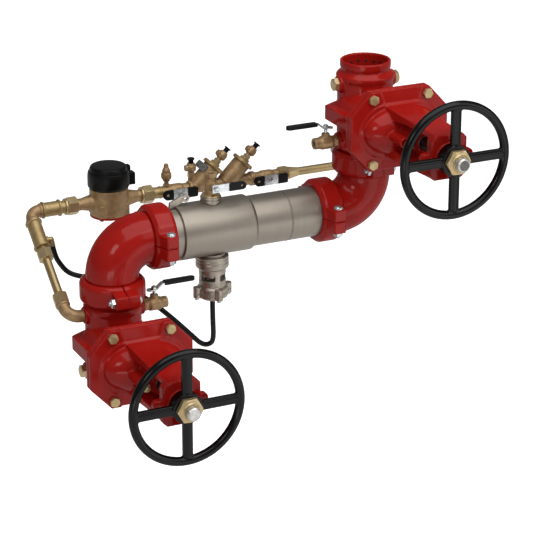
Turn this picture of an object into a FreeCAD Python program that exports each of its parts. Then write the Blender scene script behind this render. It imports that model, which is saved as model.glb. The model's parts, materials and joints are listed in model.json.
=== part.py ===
"""Reduced pressure detector assembly, four-inch size, in a Z pattern.

Water comes up through the lower gate valve, turns into a horizontal check-valve
housing, turns up again and leaves through the upper gate valve.  A small bypass
with a meter and its own little backflow preventer runs behind the housing.

Lengths are in millimetres.  The origin is the middle of the inlet pipe end.
X runs along the housing, Y points to the back, Z points up.
"""
import FreeCAD, Part
import math
import os

# Grooved pipe ends
pipe_outside = 114.3
pipe_wall = 6.35
lip_length = 15.9
groove_width = 8.7
groove_depth = 2.1
end_gap = 3.2

# Main line
valve_length = 233.0
elbow_reach = 105.0
elbow_straight = 29.0
elbow_swell = 2.0
housing_length = 403.0

# Gate valve body
neck_step = 5.6
collar_swell = 3.0
collar_ramp = 8.0
collar_length = 7.0
port_offset = 66.0
port_boss_radius = 19.0
port_boss_height = 7.5
port_hole_radius = 9.0
guide_half_width = 93.0
guide_thickness = 33.0
guide_back = 16.0
guide_corner_width = 34.0
guide_corner_depth = 19.0
guide_wall = 8.0
throat_half_width = 78.0
throat_half_height = 50.0
throat_wall = 8.0
bonnet_face = 166.0
flange_thickness = 12.5
gasket_thickness = 1.0
flange_half_width = 119.5
flange_half_height = 90.5
flange_corner_width = 48.0
flange_corner_height = 52.0
bolt_spread_x = 66.5
bolt_spread_z = 74.0
bolt_radius = 5.8
bolt_head_flats = 20.0
bolt_head_height = 8.0
bolt_spare = 4.0
hole_clearance = 0.3

# Wedge and stem
wedge_radius = 54.0
wedge_thickness = 40.0
wedge_gap = 0.3
wedge_recess_radius = 28.0
wedge_recess_depth = 6.0
wedge_top = 52.0
lug_reach = 26.0
lug_thickness = 16.0
lug_length = 56.0
stem_radius = 15.0
stem_stand = 21.0
stem_foot = 30.0
stem_clearance = 0.3
stem_chamfer = 2.5
stem_travel = 105.0

# Bonnet, stuffing box and yoke
dome_half_width = 92.0
dome_half_height = 56.0
dome_rise = 50.0
dome_wall = 10.0
box_radius = 27.0
box_end = 262.0
box_ear_reach = 38.5
box_ear_radius = 11.5
gland_stud_depth = 22.0
packing_radius = 19.5
packing_length = 16.0
arm_root_half_width = 38.0
arm_tip_half_width = 33.0
arm_root_height = 57.0
arm_thickness = 12.0
arm_root_depth = 28.0
arm_taper_end = 255.0
yoke_front = 383.0
yoke_plate_depth = 21.0
yoke_half_width = 43.0
yoke_half_height = 49.5
yoke_corner = 10.0
yoke_ear_half_width = 62.0
yoke_ear_height = 22.0
yoke_ear_depth = 16.0
yoke_ear_back = 4.0
yoke_boss_radius = 31.0
yoke_boss_height = 6.7
recess_half_width = 50.0
recess_depth = 6.0
dome_foot_width = 4.0
dome_foot_height = 3.0

# Gland
gland_lift = 8.0
gland_thickness = 8.0
gland_sleeve_length = 10.0
gland_bolt_radius = 5.0
gland_nut_flats = 17.0
gland_nut_height = 8.0
gland_bolt_spare = 8.0

# Handwheel and its nut
wheel_outside_radius = 130.5
rim_radius = 10.0
rim_stand = 26.0
spoke_width = 22.0
spoke_depth = 11.0
spoke_rib_width = 8.0
spoke_rib_depth = 2.0
wheel_hub_radius = 34.0
hub_stand = 35.0
seat_gap = 0.3
sleeve_radius = 22.0
sleeve_tail = 33.0
wheel_nut_flats = 53.6
wheel_nut_height = 11.0
wheel_nut_chamfer = 3.0

# Hex plugs in the spare ports
plug_flats = 27.0
plug_head = 11.0
plug_thread_length = 11.0
thread_play = 0.1

# Grooved couplings
coupling_width = 52.0
coupling_outside_radius = 73.0
coupling_edge_radius = 66.0
coupling_shoulder = 8.0
coupling_seat_play = 0.3
split_gap = 1.2
gasket_room_width = 28.0
gasket_outside_radius = 65.0
bolt_pad_offset = 83.5
bolt_pad_half_height = 13.5
bolt_pad_reach = 13.0
bolt_pad_half_length = 28.0
clamp_bolt_radius = 5.0
clamp_head_radius = 10.5
clamp_head_height = 7.0
clamp_nut_flats = 19.0
clamp_nut_height = 9.0
clamp_bolt_spare = 4.0

# Check housing
housing_big_radius = 62.0
housing_wall = 4.0
housing_big_start = 172.0
housing_big_end = 333.0
housing_cone = 5.0
housing_step = 4.0
top_port_x = 238.0
top_ring_radius = 23.3
top_ring_height = 74.5
top_ring_step = 6.0
top_socket_radius = 13.0
relief_x = 240.0
relief_stub_radius = 30.0
relief_port_radius = 16.0
weld_x = 445.0
weld_half_width = 3.0
weld_rise = 0.8
tab_start = 136.0
tab_width = 18.0
tab_reach = 44.0
tab_rise = 25.0
tab_thickness = 4.0
tab_hole_radius = 4.0

# Main checks, one pair of equal modules
check_first_x = 158.0
check_second_x = 352.0
check_ring_width = 12.0
check_ring_play = 0.3
check_bore_radius = 32.0
check_disc_radius = 36.0
check_disc_thickness = 6.7
check_hinge_height = 44.0
check_hinge_forward = 10.0
check_knuckle_radius = 5.5
check_knuckle_half = 12.0
check_pin_radius = 3.0
check_ear_thickness = 6.0
check_pin_play = 0.05

# Relief valve under the housing
collar_radius = 37.5
collar_top = 64.0
collar_bottom = 91.0
collar_groove = 1.6
collar_groove_pitch = 8.0
relief_radius = 30.5
relief_neck_top = 96.0
relief_flange_top = 141.0
relief_flange_radius = 34.5
relief_flange_bottom = 152.0
relief_wall = 5.5
relief_boss_circle = 38.0
relief_boss_radius = 8.5
relief_seat_level = 102.0
relief_window_top = 108.0
relief_window_height = 13.0
relief_window_width = 31.5
relief_ledge_level = 122.5
relief_ledge_thickness = 2.5
relief_ledge_radius = 15.0
plunger_disc_radius = 20.0
plunger_disc_thickness = 5.5
plunger_rod_radius = 5.0
plunger_plate_level = 146.5
plunger_plate_radius = 20.5
plunger_plate_thickness = 4.0
plunger_travel = 8.0
spring_wire_radius = 1.5
spring_radius = 17.5
spring_turns = 3
diaphragm_thickness = 2.0
cover_flange_thickness = 9.0
cover_dish_radius = 24.0
cover_dish_depth = 6.0
cover_screw_radius = 3.0
cover_screw_head_radius = 5.0
cover_screw_head_height = 4.0
hose_nipple_radius = 7.5
hose_nipple_length = 7.0

# Lever cocks on the main valves
cock_body_radius = 15.5
cock_length = 58.0
cock_centre = 28.0
cock_bore_radius = 6.5
cock_end_radius = 13.0
cock_neck_radius = 9.5
cock_neck_height = 22.0
ball_radius = 11.0
ball_bore_radius = 6.0
ball_play = 0.3
valve_stem_radius = 4.0
valve_stem_play = 0.3
lever_height = 32.0
lever_step = 12.0
lever_step_length = 14.0
lever_thickness = 3.0
lever_width = 14.0
lever_length = 98.0
grip_length = 74.0
grip_thickness = 8.0
grip_width = 17.0

# Cock on the housing
housing_cock_radius = 13.5
housing_cock_foot_radius = 18.5
housing_cock_foot_height = 4.0
housing_cock_height = 53.0
housing_cock_centre = 24.5
housing_lever_reach = 32.0
housing_lever_length = 72.0
housing_lever_width = 18.0
housing_grip_length = 42.0

# Bypass line
bypass_back = 225.0
bypass_rise = 15.0
leg_spread = 107.0
fitting_radius = 14.0
fitting_bend = 22.0
fitting_reach = 28.0
foot_bend = 30.0
fitting_rim_radius = 16.5
fitting_rim_length = 6.0
spigot_radius = 8.8
bypass_tube_radius = 9.8
nipple_radius = 11.5
sleeve_coupling_radius = 16.5
sleeve_rim_radius = 17.8
sleeve_rim_length = 3.0
sleeve_coupling_length = 44.0
leg_sleeve_length = 70.0
leg_boss_back = 19.0
leg_boss_radius = 8.5
leg_boss_length = 3.0
hex_nut_flats = 31.0
hex_nut_length = 26.0
leg_nut_gap = 6.0
hose_elbow_radius = 6.5
hose_elbow_drop = 16.0

# Meter
meter_x = 84.0
meter_case_radius = 44.5
meter_case_bottom = -30.0
meter_case_top = 32.0
meter_corner_half_x = 36.0
meter_corner_half_y = 36.0
meter_corner_top = -2.0
meter_plate_thickness = 4.5
meter_neck_radius = 13.8
meter_neck_root_radius = 21.0
meter_neck_root = 36.0
meter_neck_tip = 68.0
meter_lay_half = 92.5
union_nut_flats = 37.0
union_nut_length = 28.0
register_radius = 48.0
register_foot = 6.0
register_taper = 2.5
register_height = 40.0
register_lug_reach = 61.0
register_lug_half = 8.0
register_lug_height = 28.0
lid_radius = 44.0
lid_taper = 2.5
lid_height = 11.7
lid_lip = 2.5
lid_gap = 0.3
lid_hinge_reach = 48.5
lid_hinge_radius = 3.5
lid_knuckle_half = 5.5
lid_pin_radius = 1.3
lid_ear_width = 3.5

# Bypass shut-off valves with tee handles
shutoff_first_x = 249.0
shutoff_second_x = 479.0
shutoff_half_length = 31.0
shutoff_radius = 15.5
shutoff_end_radius = 13.5
tee_reach = 30.0
tee_half_length = 43.0
tee_plate_half = 17.5
tee_height = 23.0
tee_plate_thickness = 3.0
tee_grip_thickness = 8.0
tee_hole_radius = 3.0

# Small backflow preventer in the bypass
small_run_radius = 14.0
small_hub_radius = 17.0
small_hub_length = 12.0
small_chamber_first_x = 299.0
small_chamber_second_x = 374.0
small_chamber_radius = 21.5
small_chamber_length = 60.0
small_cover_radius = 27.0
small_cover_thickness = 8.0
small_cover_hex_flats = 24.0
small_cover_hex_height = 6.0
small_cock_radius = 9.5
small_cock_neck_radius = 6.0
small_cock_neck_length = 12.0
small_cock_length = 20.0
small_cap_radius = 6.0
small_cap_rim_radius = 8.5
small_cap_length = 12.0
vertical_cock_x = 288.0
bleed_x = 226.0
bleed_height = 60.0
bleed_body_radius = 12.5
bleed_foot_radius = 6.0
bleed_neck_radius = 5.5
bleed_tip_radius = 4.0
tap_saddle_depth = 4.0

# Reducer and outlet tube of the bypass
reducer_nut_length = 24.0
reducer_cone_length = 27.0

# Sensing hose
hose_radius = 5.95

# Worked out from the sizes above
pipe_radius = pipe_outside / 2
bore_radius = pipe_radius - pipe_wall
groove_radius = pipe_radius - groove_depth
neck_radius = pipe_radius + neck_step
inlet_mid = valve_length / 2
run_height = valve_length + end_gap + elbow_reach
run_start = elbow_reach + end_gap
run_end = run_start + housing_length
outlet_x = run_end + end_gap + elbow_reach
outlet_mid = run_height + elbow_reach + end_gap + valve_length / 2
bypass_z = run_height + bypass_rise
port_face = neck_radius + port_boss_height
foot_reach = leg_spread - port_face
body_flange_front = bonnet_face - flange_thickness - gasket_thickness
body_flange_back = body_flange_front - flange_thickness
rim_plane = yoke_front + rim_stand
wheel_hub_front = yoke_front + hub_stand
sleeve_back = yoke_front - sleeve_tail
stem_tip = wheel_hub_front + wheel_nut_height + stem_stand

V = FreeCAD.Vector
ORIGIN = V(0, 0, 0)
RIGHT = V(1, 0, 0)
BACK = V(0, 1, 0)
UP = V(0, 0, 1)
FRONT = V(0, -1, 0)
LEFT = V(-1, 0, 0)
DOWN = V(0, 0, -1)


def joined(*shapes):
    """One solid from several that touch or overlap."""
    return shapes[0].multiFuse(list(shapes[1:])).removeSplitter()


def cut(shape, *tools):
    """The shape with every tool's room taken out of it."""
    return shape.cut(list(tools)).removeSplitter()


def laid(shape, base, axis):
    """A shape built along Z, laid along an axis from a base point."""
    placed = shape.copy()
    placed.Placement = FreeCAD.Placement(base, FreeCAD.Rotation(UP, axis))
    return placed


def moved(shape, offset):
    """A copy of a shape, moved."""
    placed = shape.copy()
    placed.translate(offset)
    return placed


def rod(radius, start, end):
    """A round bar between two points."""
    span = end - start
    return laid(Part.makeCylinder(radius, span.Length), start, span)


def ring(outer, inner, start, end):
    """A round bar with a through bore."""
    span = end - start
    over = span * (1.0 / span.Length)
    return cut(rod(outer, start, end), rod(inner, start - over, end + over))


def turned(outline, base, axis):
    """A solid of revolution: the outline is (radius, distance along the axis)."""
    corners = [V(radius, 0, along) for radius, along in outline]
    face = Part.Face(Part.makePolygon(corners + corners[:1]))
    return laid(face.revolve(ORIGIN, UP, 360), base, axis)


def block(low, high):
    """A box between two corners."""
    size = high - low
    return Part.makeBox(size.x, size.y, size.z, low)


def centred_block(centre, size_x, size_y, size_z):
    """A box about its middle."""
    half = V(size_x / 2, size_y / 2, size_z / 2)
    return block(centre - half, centre + half)


def plate(corners, push):
    """A flat plate: its corners in space and the push through its thickness."""
    return Part.Face(Part.makePolygon(corners + corners[:1])).extrude(push)


def hexagon(flats, base, end):
    """A hexagonal bar between two points."""
    radius = flats / math.sqrt(3)
    span = end - base
    corners = []
    for step in range(6):
        turn = math.radians(60 * step)
        corners.append(V(radius * math.cos(turn), radius * math.sin(turn), 0))
    bar = plate(corners, V(0, 0, span.Length))
    return laid(bar, base, span)


def chamfered_hexagon(flats, base, end, chamfer):
    """A hexagonal bar with its far corners turned off."""
    span = end - base
    length = span.Length
    radius = flats / math.sqrt(3)
    outline = [(0, 0), (radius, 0), (radius, length - chamfer), (radius - chamfer, length), (0, length)]
    return hexagon(flats, base, end).common(turned(outline, base, span))


def stadium(half_width, half_height, near, far):
    """A bar with round ends, wide in X, standing from y = -near to y = -far."""
    reach = half_width - half_height
    middle = block(V(-reach, -far, -half_height), V(reach, -near, half_height))
    left = rod(half_height, V(-reach, -near, 0), V(-reach, -far, 0))
    right = rod(half_height, V(reach, -near, 0), V(reach, -far, 0))
    return joined(middle, left, right)


def octagon(half_width, half_height, corner_width, corner_height, near, far):
    """A plate with cut corners, standing from y = -near to y = -far."""
    x_in = half_width - corner_width
    z_in = half_height - corner_height
    corners = [V(-half_width, -near, -z_in), V(-x_in, -near, -half_height),
               V(x_in, -near, -half_height), V(half_width, -near, -z_in),
               V(half_width, -near, z_in), V(x_in, -near, half_height),
               V(-x_in, -near, half_height), V(-half_width, -near, z_in)]
    return plate(corners, V(0, near - far, 0))


def half_ellipsoid(half_width, half_height, rise, level):
    """A dome on the plane y = -level that bulges to the front."""
    ball = Part.makeSphere(1.0)
    stretch = FreeCAD.Matrix()
    stretch.scale(half_width, rise, half_height)
    dome = ball.transformGeometry(stretch)
    dome.translate(V(0, -level, 0))
    size = 2 * max(half_width, half_height, rise)
    front = block(V(-size, -level - size, -size), V(size, -level, size))
    return dome.common(front)


def bent_pipe(radius, points, bends):
    """A round pipe along straight runs with a tangent arc at every inner point."""
    edges = []
    last = points[0]
    for index in range(1, len(points) - 1):
        corner = points[index]
        into = (corner - points[index - 1]).normalize()
        out = (points[index + 1] - corner).normalize()
        turn = into.getAngle(out)
        setback = bends[index - 1] * math.tan(turn / 2)
        start = corner - into * setback
        end = corner + out * setback
        inward = (out - into).normalize()
        middle = corner + inward * (bends[index - 1] * (1 / math.cos(turn / 2) - 1))
        if (start - last).Length > 1e-6:
            edges.append(Part.LineSegment(last, start).toShape())
        edges.append(Part.Arc(start, middle, end).toShape())
        last = end
    edges.append(Part.LineSegment(last, points[-1]).toShape())
    path = Part.Wire(edges)
    first = (points[1] - points[0]).normalize()
    profile = Part.Wire(Part.Circle(points[0], first, radius).toShape())
    return path.makePipeShell([profile], True, False), path.Length


def save(node, *solids):
    """Write one node of the assembly as a STEP file."""
    shape = solids[0] if len(solids) == 1 else Part.makeCompound(list(solids))
    shape.exportStep("parts/" + node + ".step")


def grooved_spigot(end, outward):
    """The lip and groove that a pipe coupling grips, drawn back from the pipe's end."""
    length = lip_length + groove_width
    outline = [(0, 0), (pipe_radius, 0), (pipe_radius, lip_length), (groove_radius, lip_length),
               (groove_radius, length), (0, length)]
    return turned(outline, end, outward * -1)


def valve_body():
    """The casting of a gate valve about its own middle, with its stem towards the front."""
    half = valve_length / 2
    grip = lip_length + groove_width
    shoulder = half - grip
    swell = neck_radius + collar_swell
    collar_end = collar_ramp + collar_length
    outline = [(0, -half), (pipe_radius, -half), (pipe_radius, -half + lip_length),
               (groove_radius, -half + lip_length), (groove_radius, -shoulder),
               (pipe_radius, -shoulder), (swell, collar_ramp - shoulder),
               (swell, collar_end - shoulder), (neck_radius, collar_end + collar_ramp - shoulder),
               (neck_radius, shoulder - collar_end - collar_ramp), (swell, shoulder - collar_end),
               (swell, shoulder - collar_ramp), (pipe_radius, shoulder),
               (groove_radius, shoulder), (groove_radius, half - lip_length),
               (pipe_radius, half - lip_length), (pipe_radius, half), (0, half)]
    shapes = [turned(outline, ORIGIN, UP)]
    for level in (-port_offset, port_offset):
        shapes.append(rod(port_boss_radius, V(-port_face, 0, level), V(port_face, 0, level)))
    inner = guide_half_width - guide_corner_width
    back = guide_back + guide_corner_depth
    plan = [V(-guide_half_width, -body_flange_back, 0), V(guide_half_width, -body_flange_back, 0),
            V(guide_half_width, guide_back, 0), V(inner, back, 0), V(-inner, back, 0),
            V(-guide_half_width, guide_back, 0)]
    plan = [corner + V(0, 0, -guide_thickness / 2) for corner in plan]
    shapes.append(plate(plan, V(0, 0, guide_thickness)))
    shapes.append(stadium(throat_half_width, throat_half_height, 0, body_flange_back))
    shapes.append(octagon(flange_half_width, flange_half_height, flange_corner_width,
                          flange_corner_height, body_flange_back, body_flange_front))
    outer = joined(*shapes)

    face = body_flange_front + 1
    room = wedge_thickness / 2 + wedge_gap
    slot = guide_half_width - guide_wall
    slot_half = lug_thickness / 2 + 2 * wedge_gap
    tools = [rod(bore_radius, V(0, 0, -half - 1), V(0, 0, half + 1)),
             rod(wedge_radius + 2, V(0, 0, -room), V(0, 0, room)),
             block(V(-wedge_radius - 2, -face, -room), V(wedge_radius + 2, 0, room)),
             block(V(-slot, -face, -slot_half), V(slot, lug_length / 2 - 4, slot_half)),
             stadium(throat_half_width - throat_wall, throat_half_height - throat_wall,
                     neck_radius + 2, face)]
    for level in (-port_offset, port_offset):
        tools.append(rod(port_hole_radius, V(-port_face - 1, 0, level), V(port_face + 1, 0, level)))
    for x, z in bolt_places():
        tools.append(rod(bolt_radius + hole_clearance, V(x, -face, z), V(x, -body_flange_back + 1, z)))
    return cut(outer, *tools)


def bolt_places():
    """The four bonnet bolts, as (x, z) about the stem."""
    return [(x, z) for x in (-bolt_spread_x, bolt_spread_x) for z in (-bolt_spread_z, bolt_spread_z)]


def yoke_arm():
    """The upper arm of the yoke: tapered in plan, deep at its root and thin behind the wheel."""
    tip_height = yoke_half_height
    side = [V(0, -bonnet_face + 4, arm_root_height), V(0, -yoke_front, tip_height),
            V(0, -yoke_front, tip_height - arm_thickness), V(0, -arm_taper_end, tip_height - arm_thickness),
            V(0, -bonnet_face + 4, arm_root_height - arm_root_depth)]
    reach = arm_root_half_width
    web = plate([corner + V(-reach, 0, 0) for corner in side], V(2 * reach, 0, 0))
    low = arm_root_height - 3 * arm_thickness
    plan = [V(-reach, -bonnet_face + 4, low), V(-arm_tip_half_width, -yoke_front, low),
            V(arm_tip_half_width, -yoke_front, low), V(reach, -bonnet_face + 4, low)]
    return web.common(plate(plan, V(0, 0, 4 * arm_thickness)))


def flange_recess():
    """Room taken out of the flange above an arm: it deepens and widens towards the flange's edge."""
    past = flange_half_height + 1
    side = [V(0, -bonnet_face, arm_root_height), V(0, -bonnet_face - 1, arm_root_height),
            V(0, -bonnet_face - 1, past), V(0, -bonnet_face + recess_depth, past)]
    slope = plate([corner + V(-recess_half_width, 0, 0) for corner in side], V(2 * recess_half_width, 0, 0))
    front = [V(-arm_root_half_width, -bonnet_face + recess_depth, arm_root_height),
             V(arm_root_half_width, -bonnet_face + recess_depth, arm_root_height),
             V(recess_half_width, -bonnet_face + recess_depth, past),
             V(-recess_half_width, -bonnet_face + recess_depth, past)]
    return slope.common(plate(front, FRONT * (recess_depth + 1)))


def valve_bonnet():
    """Flange, dome, stuffing box and yoke, cast in one piece."""
    flange_back = bonnet_face - flange_thickness
    shapes = [octagon(flange_half_width, flange_half_height, flange_corner_width,
                      flange_corner_height, flange_back, bonnet_face),
              half_ellipsoid(dome_half_width, dome_half_height, dome_rise, bonnet_face - 1),
              stadium(dome_half_width + dome_foot_width, dome_half_height + dome_foot_width,
                      bonnet_face - 1, bonnet_face + dome_foot_height),
              rod(box_radius, V(0, -bonnet_face, 0), V(0, -box_end, 0))]
    shapes.append(stadium(box_ear_reach + box_ear_radius, box_ear_radius, bonnet_face, box_end))
    arm = yoke_arm()
    lower_arm = arm.mirror(ORIGIN, UP)
    plate_back = yoke_front - yoke_plate_depth
    ear_front = yoke_front - yoke_ear_back
    shapes += [arm, lower_arm,
               octagon(yoke_half_width, yoke_half_height, yoke_corner, yoke_corner,
                       plate_back, yoke_front),
               stadium(yoke_ear_half_width, yoke_ear_height / 2, ear_front - yoke_ear_depth, ear_front),
               rod(yoke_boss_radius, V(0, -plate_back, 0), V(0, -yoke_front - yoke_boss_height, 0))]
    outer = joined(*shapes)

    tools = [half_ellipsoid(dome_half_width - dome_wall, dome_half_height - dome_wall,
                            dome_rise + flange_thickness - dome_wall, flange_back - 1),
             rod(stem_radius + stem_clearance, V(0, -flange_back, 0), V(0, -box_end - 1, 0)),
             rod(packing_radius, V(0, -box_end + packing_length + gland_sleeve_length - gland_lift, 0),
                 V(0, -box_end - 1, 0)),
             rod(sleeve_radius + stem_clearance, V(0, -plate_back + 1, 0),
                 V(0, -yoke_front - yoke_boss_height - 1, 0)),
             flange_recess(), flange_recess().mirror(ORIGIN, UP)]
    for x, z in bolt_places():
        tools.append(rod(bolt_radius + hole_clearance, V(x, -flange_back + 1, z), V(x, -bonnet_face - 30, z)))
    for side in (-1, 1):
        x = side * box_ear_reach
        tools.append(rod(gland_bolt_radius + hole_clearance, V(x, gland_stud_depth - box_end, 0),
                         V(x, -box_end - 1, 0)))
    return cut(outer, *tools)


def bonnet_gasket():
    """The flat ring of sheet gasket between body and bonnet."""
    front = bonnet_face - flange_thickness
    sheet = octagon(flange_half_width - 2, flange_half_height - 2, flange_corner_width,
                    flange_corner_height, body_flange_front, front)
    tools = [stadium(dome_half_width - dome_wall + 1, dome_half_height - dome_wall + 1,
                     body_flange_front - 1, front + 1)]
    for x, z in bolt_places():
        tools.append(rod(bolt_radius + hole_clearance, V(x, -body_flange_front + 1, z), V(x, -front - 1, z)))
    return cut(sheet, *tools)


def bonnet_bolt(x, z):
    """A hexagon bolt and its nut through both flanges."""
    head_seat = V(x, -bonnet_face, z)
    nut_seat = V(x, -body_flange_back, z)
    nut_end = nut_seat + BACK * bolt_head_height
    head = chamfered_hexagon(bolt_head_flats, head_seat, head_seat + FRONT * bolt_head_height, 1.2)
    bolt = joined(head, rod(bolt_radius, head_seat, nut_end + BACK * bolt_spare))
    hole = rod(bolt_radius, nut_seat + FRONT, nut_end + BACK)
    nut = cut(hexagon(bolt_head_flats, nut_seat, nut_end), hole)
    return [bolt, nut]


def wedge():
    """The gate: a thick disc with a straight top, side lugs and a hole for the stem."""
    half = wedge_thickness / 2
    disc = rod(wedge_radius, V(0, 0, -half), V(0, 0, half))
    top = block(V(-wedge_radius, -wedge_top, -half), V(wedge_radius, 0, half))
    nut_block = centred_block(V(0, -wedge_top - 8, 0), 44, 18, wedge_thickness - 3)
    reach = wedge_radius + lug_reach
    lugs = centred_block(V(0, -lug_length / 4, 0), 2 * reach, lug_length, lug_thickness)
    outer = joined(disc, top, nut_block, lugs)
    tools = [rod(stem_radius + 0.1, V(0, -stem_foot, 0), V(0, -wedge_top - 30, 0))]
    for side in (-1, 1):
        tools.append(rod(wedge_recess_radius, V(0, 0, side * (half - wedge_recess_depth)),
                         V(0, 0, side * (half + 1))))
    return cut(outer, *tools)


def stem():
    """The rising stem, from the wedge to the tip beyond the handwheel."""
    outline = [(0, stem_foot), (stem_radius, stem_foot), (stem_radius, stem_tip - stem_chamfer),
               (stem_radius - stem_chamfer, stem_tip), (0, stem_tip)]
    return turned(outline, ORIGIN, FRONT)


def packing():
    """The packing ring round the stem."""
    end = box_end - gland_sleeve_length + gland_lift
    return ring(packing_radius, stem_radius + stem_clearance,
                V(0, -end + packing_length, 0), V(0, -end, 0))


def gland():
    """The gland follower: an oval flange with a sleeve that presses on the packing."""
    back = box_end + gland_lift
    front = back + gland_thickness
    shapes = [rod(box_radius - 2, V(0, -back, 0), V(0, -front, 0)),
              centred_block(V(0, -(back + front) / 2, 0), 2 * box_ear_reach,
                            gland_thickness, 2 * box_ear_radius - 4),
              rod(packing_radius - 0.2, V(0, -back + gland_sleeve_length, 0), V(0, -front, 0))]
    tools = [rod(stem_radius + stem_clearance, V(0, 0, 0), V(0, -front - 1, 0))]
    for side in (-1, 1):
        x = side * box_ear_reach
        shapes.append(rod(box_ear_radius - 2, V(x, -back, 0), V(x, -front, 0)))
        tools.append(rod(gland_bolt_radius + hole_clearance, V(x, -back + 1, 0), V(x, -front - 1, 0)))
    return cut(joined(*shapes), *tools)


def gland_bolt(side):
    """A stud and nut that hold the gland."""
    x = side * box_ear_reach
    seat = box_end + gland_lift + gland_thickness
    nut_end = seat + gland_nut_height
    stud = rod(gland_bolt_radius, V(x, gland_stud_depth - box_end, 0), V(x, -nut_end - gland_bolt_spare, 0))
    nut = cut(hexagon(gland_nut_flats, V(x, -seat, 0), V(x, -nut_end, 0)),
              rod(gland_bolt_radius, V(x, -seat + 1, 0), V(x, -nut_end - 1, 0)))
    return [stud, nut]


def handwheel():
    """Rim, four ribbed spokes and hub."""
    hub_back = yoke_front + yoke_boss_height + seat_gap
    rim_centre = wheel_outside_radius - rim_radius
    rim = laid(Part.makeTorus(rim_centre, rim_radius), V(0, -rim_plane, 0), FRONT)
    shapes = [rim, rod(wheel_hub_radius, V(0, -hub_back, 0), V(0, -wheel_hub_front, 0))]
    back = rim_plane - spoke_depth / 2
    front = rim_plane + spoke_depth / 2
    rib = front + spoke_rib_depth
    for width, near, far in ((spoke_width, back, front), (spoke_rib_width, back, rib)):
        shapes.append(block(V(-rim_centre, -far, -width / 2), V(rim_centre, -near, width / 2)))
        shapes.append(block(V(-width / 2, -far, -rim_centre), V(width / 2, -near, rim_centre)))
    bore = rod(sleeve_radius, V(0, -hub_back + 1, 0), V(0, -wheel_hub_front - 1, 0))
    return cut(joined(*shapes), bore)


def yoke_nut():
    """The threaded sleeve that turns in the yoke, with the hexagon that holds the wheel."""
    nut_front = wheel_hub_front + wheel_nut_height
    sleeve = rod(sleeve_radius, V(0, -sleeve_back, 0), V(0, -wheel_hub_front - 1, 0))
    head = chamfered_hexagon(wheel_nut_flats, V(0, -wheel_hub_front, 0), V(0, -nut_front, 0),
                             wheel_nut_chamfer)
    bore = rod(stem_radius + stem_clearance, V(0, -sleeve_back + 1, 0), V(0, -nut_front - 1, 0))
    return cut(joined(sleeve, head), bore)


def port_plug(side, level):
    """A hexagon plug in a spare port of a valve body; side is -1 or 1."""
    face = side * port_face
    axis = V(side, 0, 0)
    seat = V(face, 0, level)
    head = chamfered_hexagon(plug_flats, seat, seat + axis * plug_head, 1.5)
    thread = rod(port_hole_radius - thread_play, seat - axis * plug_thread_length, seat)
    return joined(head, thread)


def elbow():
    """A short elbow about its corner: one end points down, the other to the right."""
    bend = elbow_reach - elbow_straight
    grip = elbow_reach - lip_length - groove_width
    past = elbow_reach + 1
    outer, _ = bent_pipe(pipe_radius + elbow_swell, [DOWN * grip, ORIGIN, RIGHT * grip], [bend])
    bore, _ = bent_pipe(bore_radius, [DOWN * past, ORIGIN, RIGHT * past], [bend])
    ends = [grooved_spigot(way * elbow_reach, way) for way in (DOWN, RIGHT)]
    return cut(joined(outer, *ends), bore)


def coupling_half():
    """Half of a two-piece coupling about its middle: axis along Z, half on the -X side."""
    half = coupling_width / 2
    key_in = end_gap / 2 + lip_length + coupling_seat_play
    key_radius = groove_radius + coupling_seat_play
    land_radius = pipe_radius + coupling_seat_play
    room = gasket_room_width / 2
    outline = [(key_radius, -half), (coupling_edge_radius, -half),
               (coupling_outside_radius, coupling_shoulder - half),
               (coupling_outside_radius, half - coupling_shoulder),
               (coupling_edge_radius, half), (key_radius, half), (key_radius, key_in),
               (land_radius, key_in), (land_radius, room), (gasket_outside_radius, room),
               (gasket_outside_radius, -room), (land_radius, -room), (land_radius, -key_in),
               (key_radius, -key_in)]
    shapes = [turned(outline, ORIGIN, UP)]
    pad = bolt_pad_half_length
    for side in (-1, 1):
        near = side * gasket_outside_radius
        far = side * (bolt_pad_offset + bolt_pad_reach)
        tall = half - coupling_shoulder / 2
        section = [V(-pad, near, -tall), V(-pad, far, -bolt_pad_half_height),
                   V(-pad, far, bolt_pad_half_height), V(-pad, near, tall)]
        shapes.append(plate(section, RIGHT * pad))
    body = joined(*shapes)
    size = 2 * coupling_outside_radius
    keep = block(V(-size, -size, -size), V(-split_gap / 2, size, size))
    room_tools = [rod(key_radius, V(0, 0, -size), V(0, 0, size)),
                  rod(gasket_outside_radius, V(0, 0, -room), V(0, 0, room))]
    for side in (-1, 1):
        y = side * bolt_pad_offset
        room_tools.append(rod(clamp_bolt_radius + hole_clearance, V(-size, y, 0), V(size, y, 0)))
    return cut(body.common(keep), *room_tools)


def coupling_gasket():
    """The rubber ring over the two pipe ends, with a channel over the gap."""
    half = gasket_room_width / 2
    channel = half - 8
    outline = [(pipe_radius, -half), (gasket_outside_radius, -half), (gasket_outside_radius, half),
               (pipe_radius, half), (pipe_radius, channel), (pipe_radius + 3, channel - 2),
               (pipe_radius + 3, 2 - channel), (pipe_radius, -channel)]
    return turned(outline, ORIGIN, UP)


def clamp_bolt(side):
    """A round-headed bolt and its nut along X through both bolt pads; the nut is on the left."""
    y = side * bolt_pad_offset
    pad = bolt_pad_half_length
    nut_end = V(-pad - clamp_nut_height, y, 0)
    head = turned([(0, 0), (clamp_head_radius, 0), (clamp_head_radius, clamp_head_height / 2),
                   (clamp_head_radius - 3, clamp_head_height), (0, clamp_head_height)],
                  V(pad, y, 0), RIGHT)
    bolt = joined(head, rod(clamp_bolt_radius, nut_end + LEFT * clamp_bolt_spare, V(pad, y, 0)))
    nut = cut(hexagon(clamp_nut_flats, V(-pad, y, 0), nut_end),
              rod(clamp_bolt_radius, V(-pad + 1, y, 0), nut_end + LEFT))
    return [bolt, nut]


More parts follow.
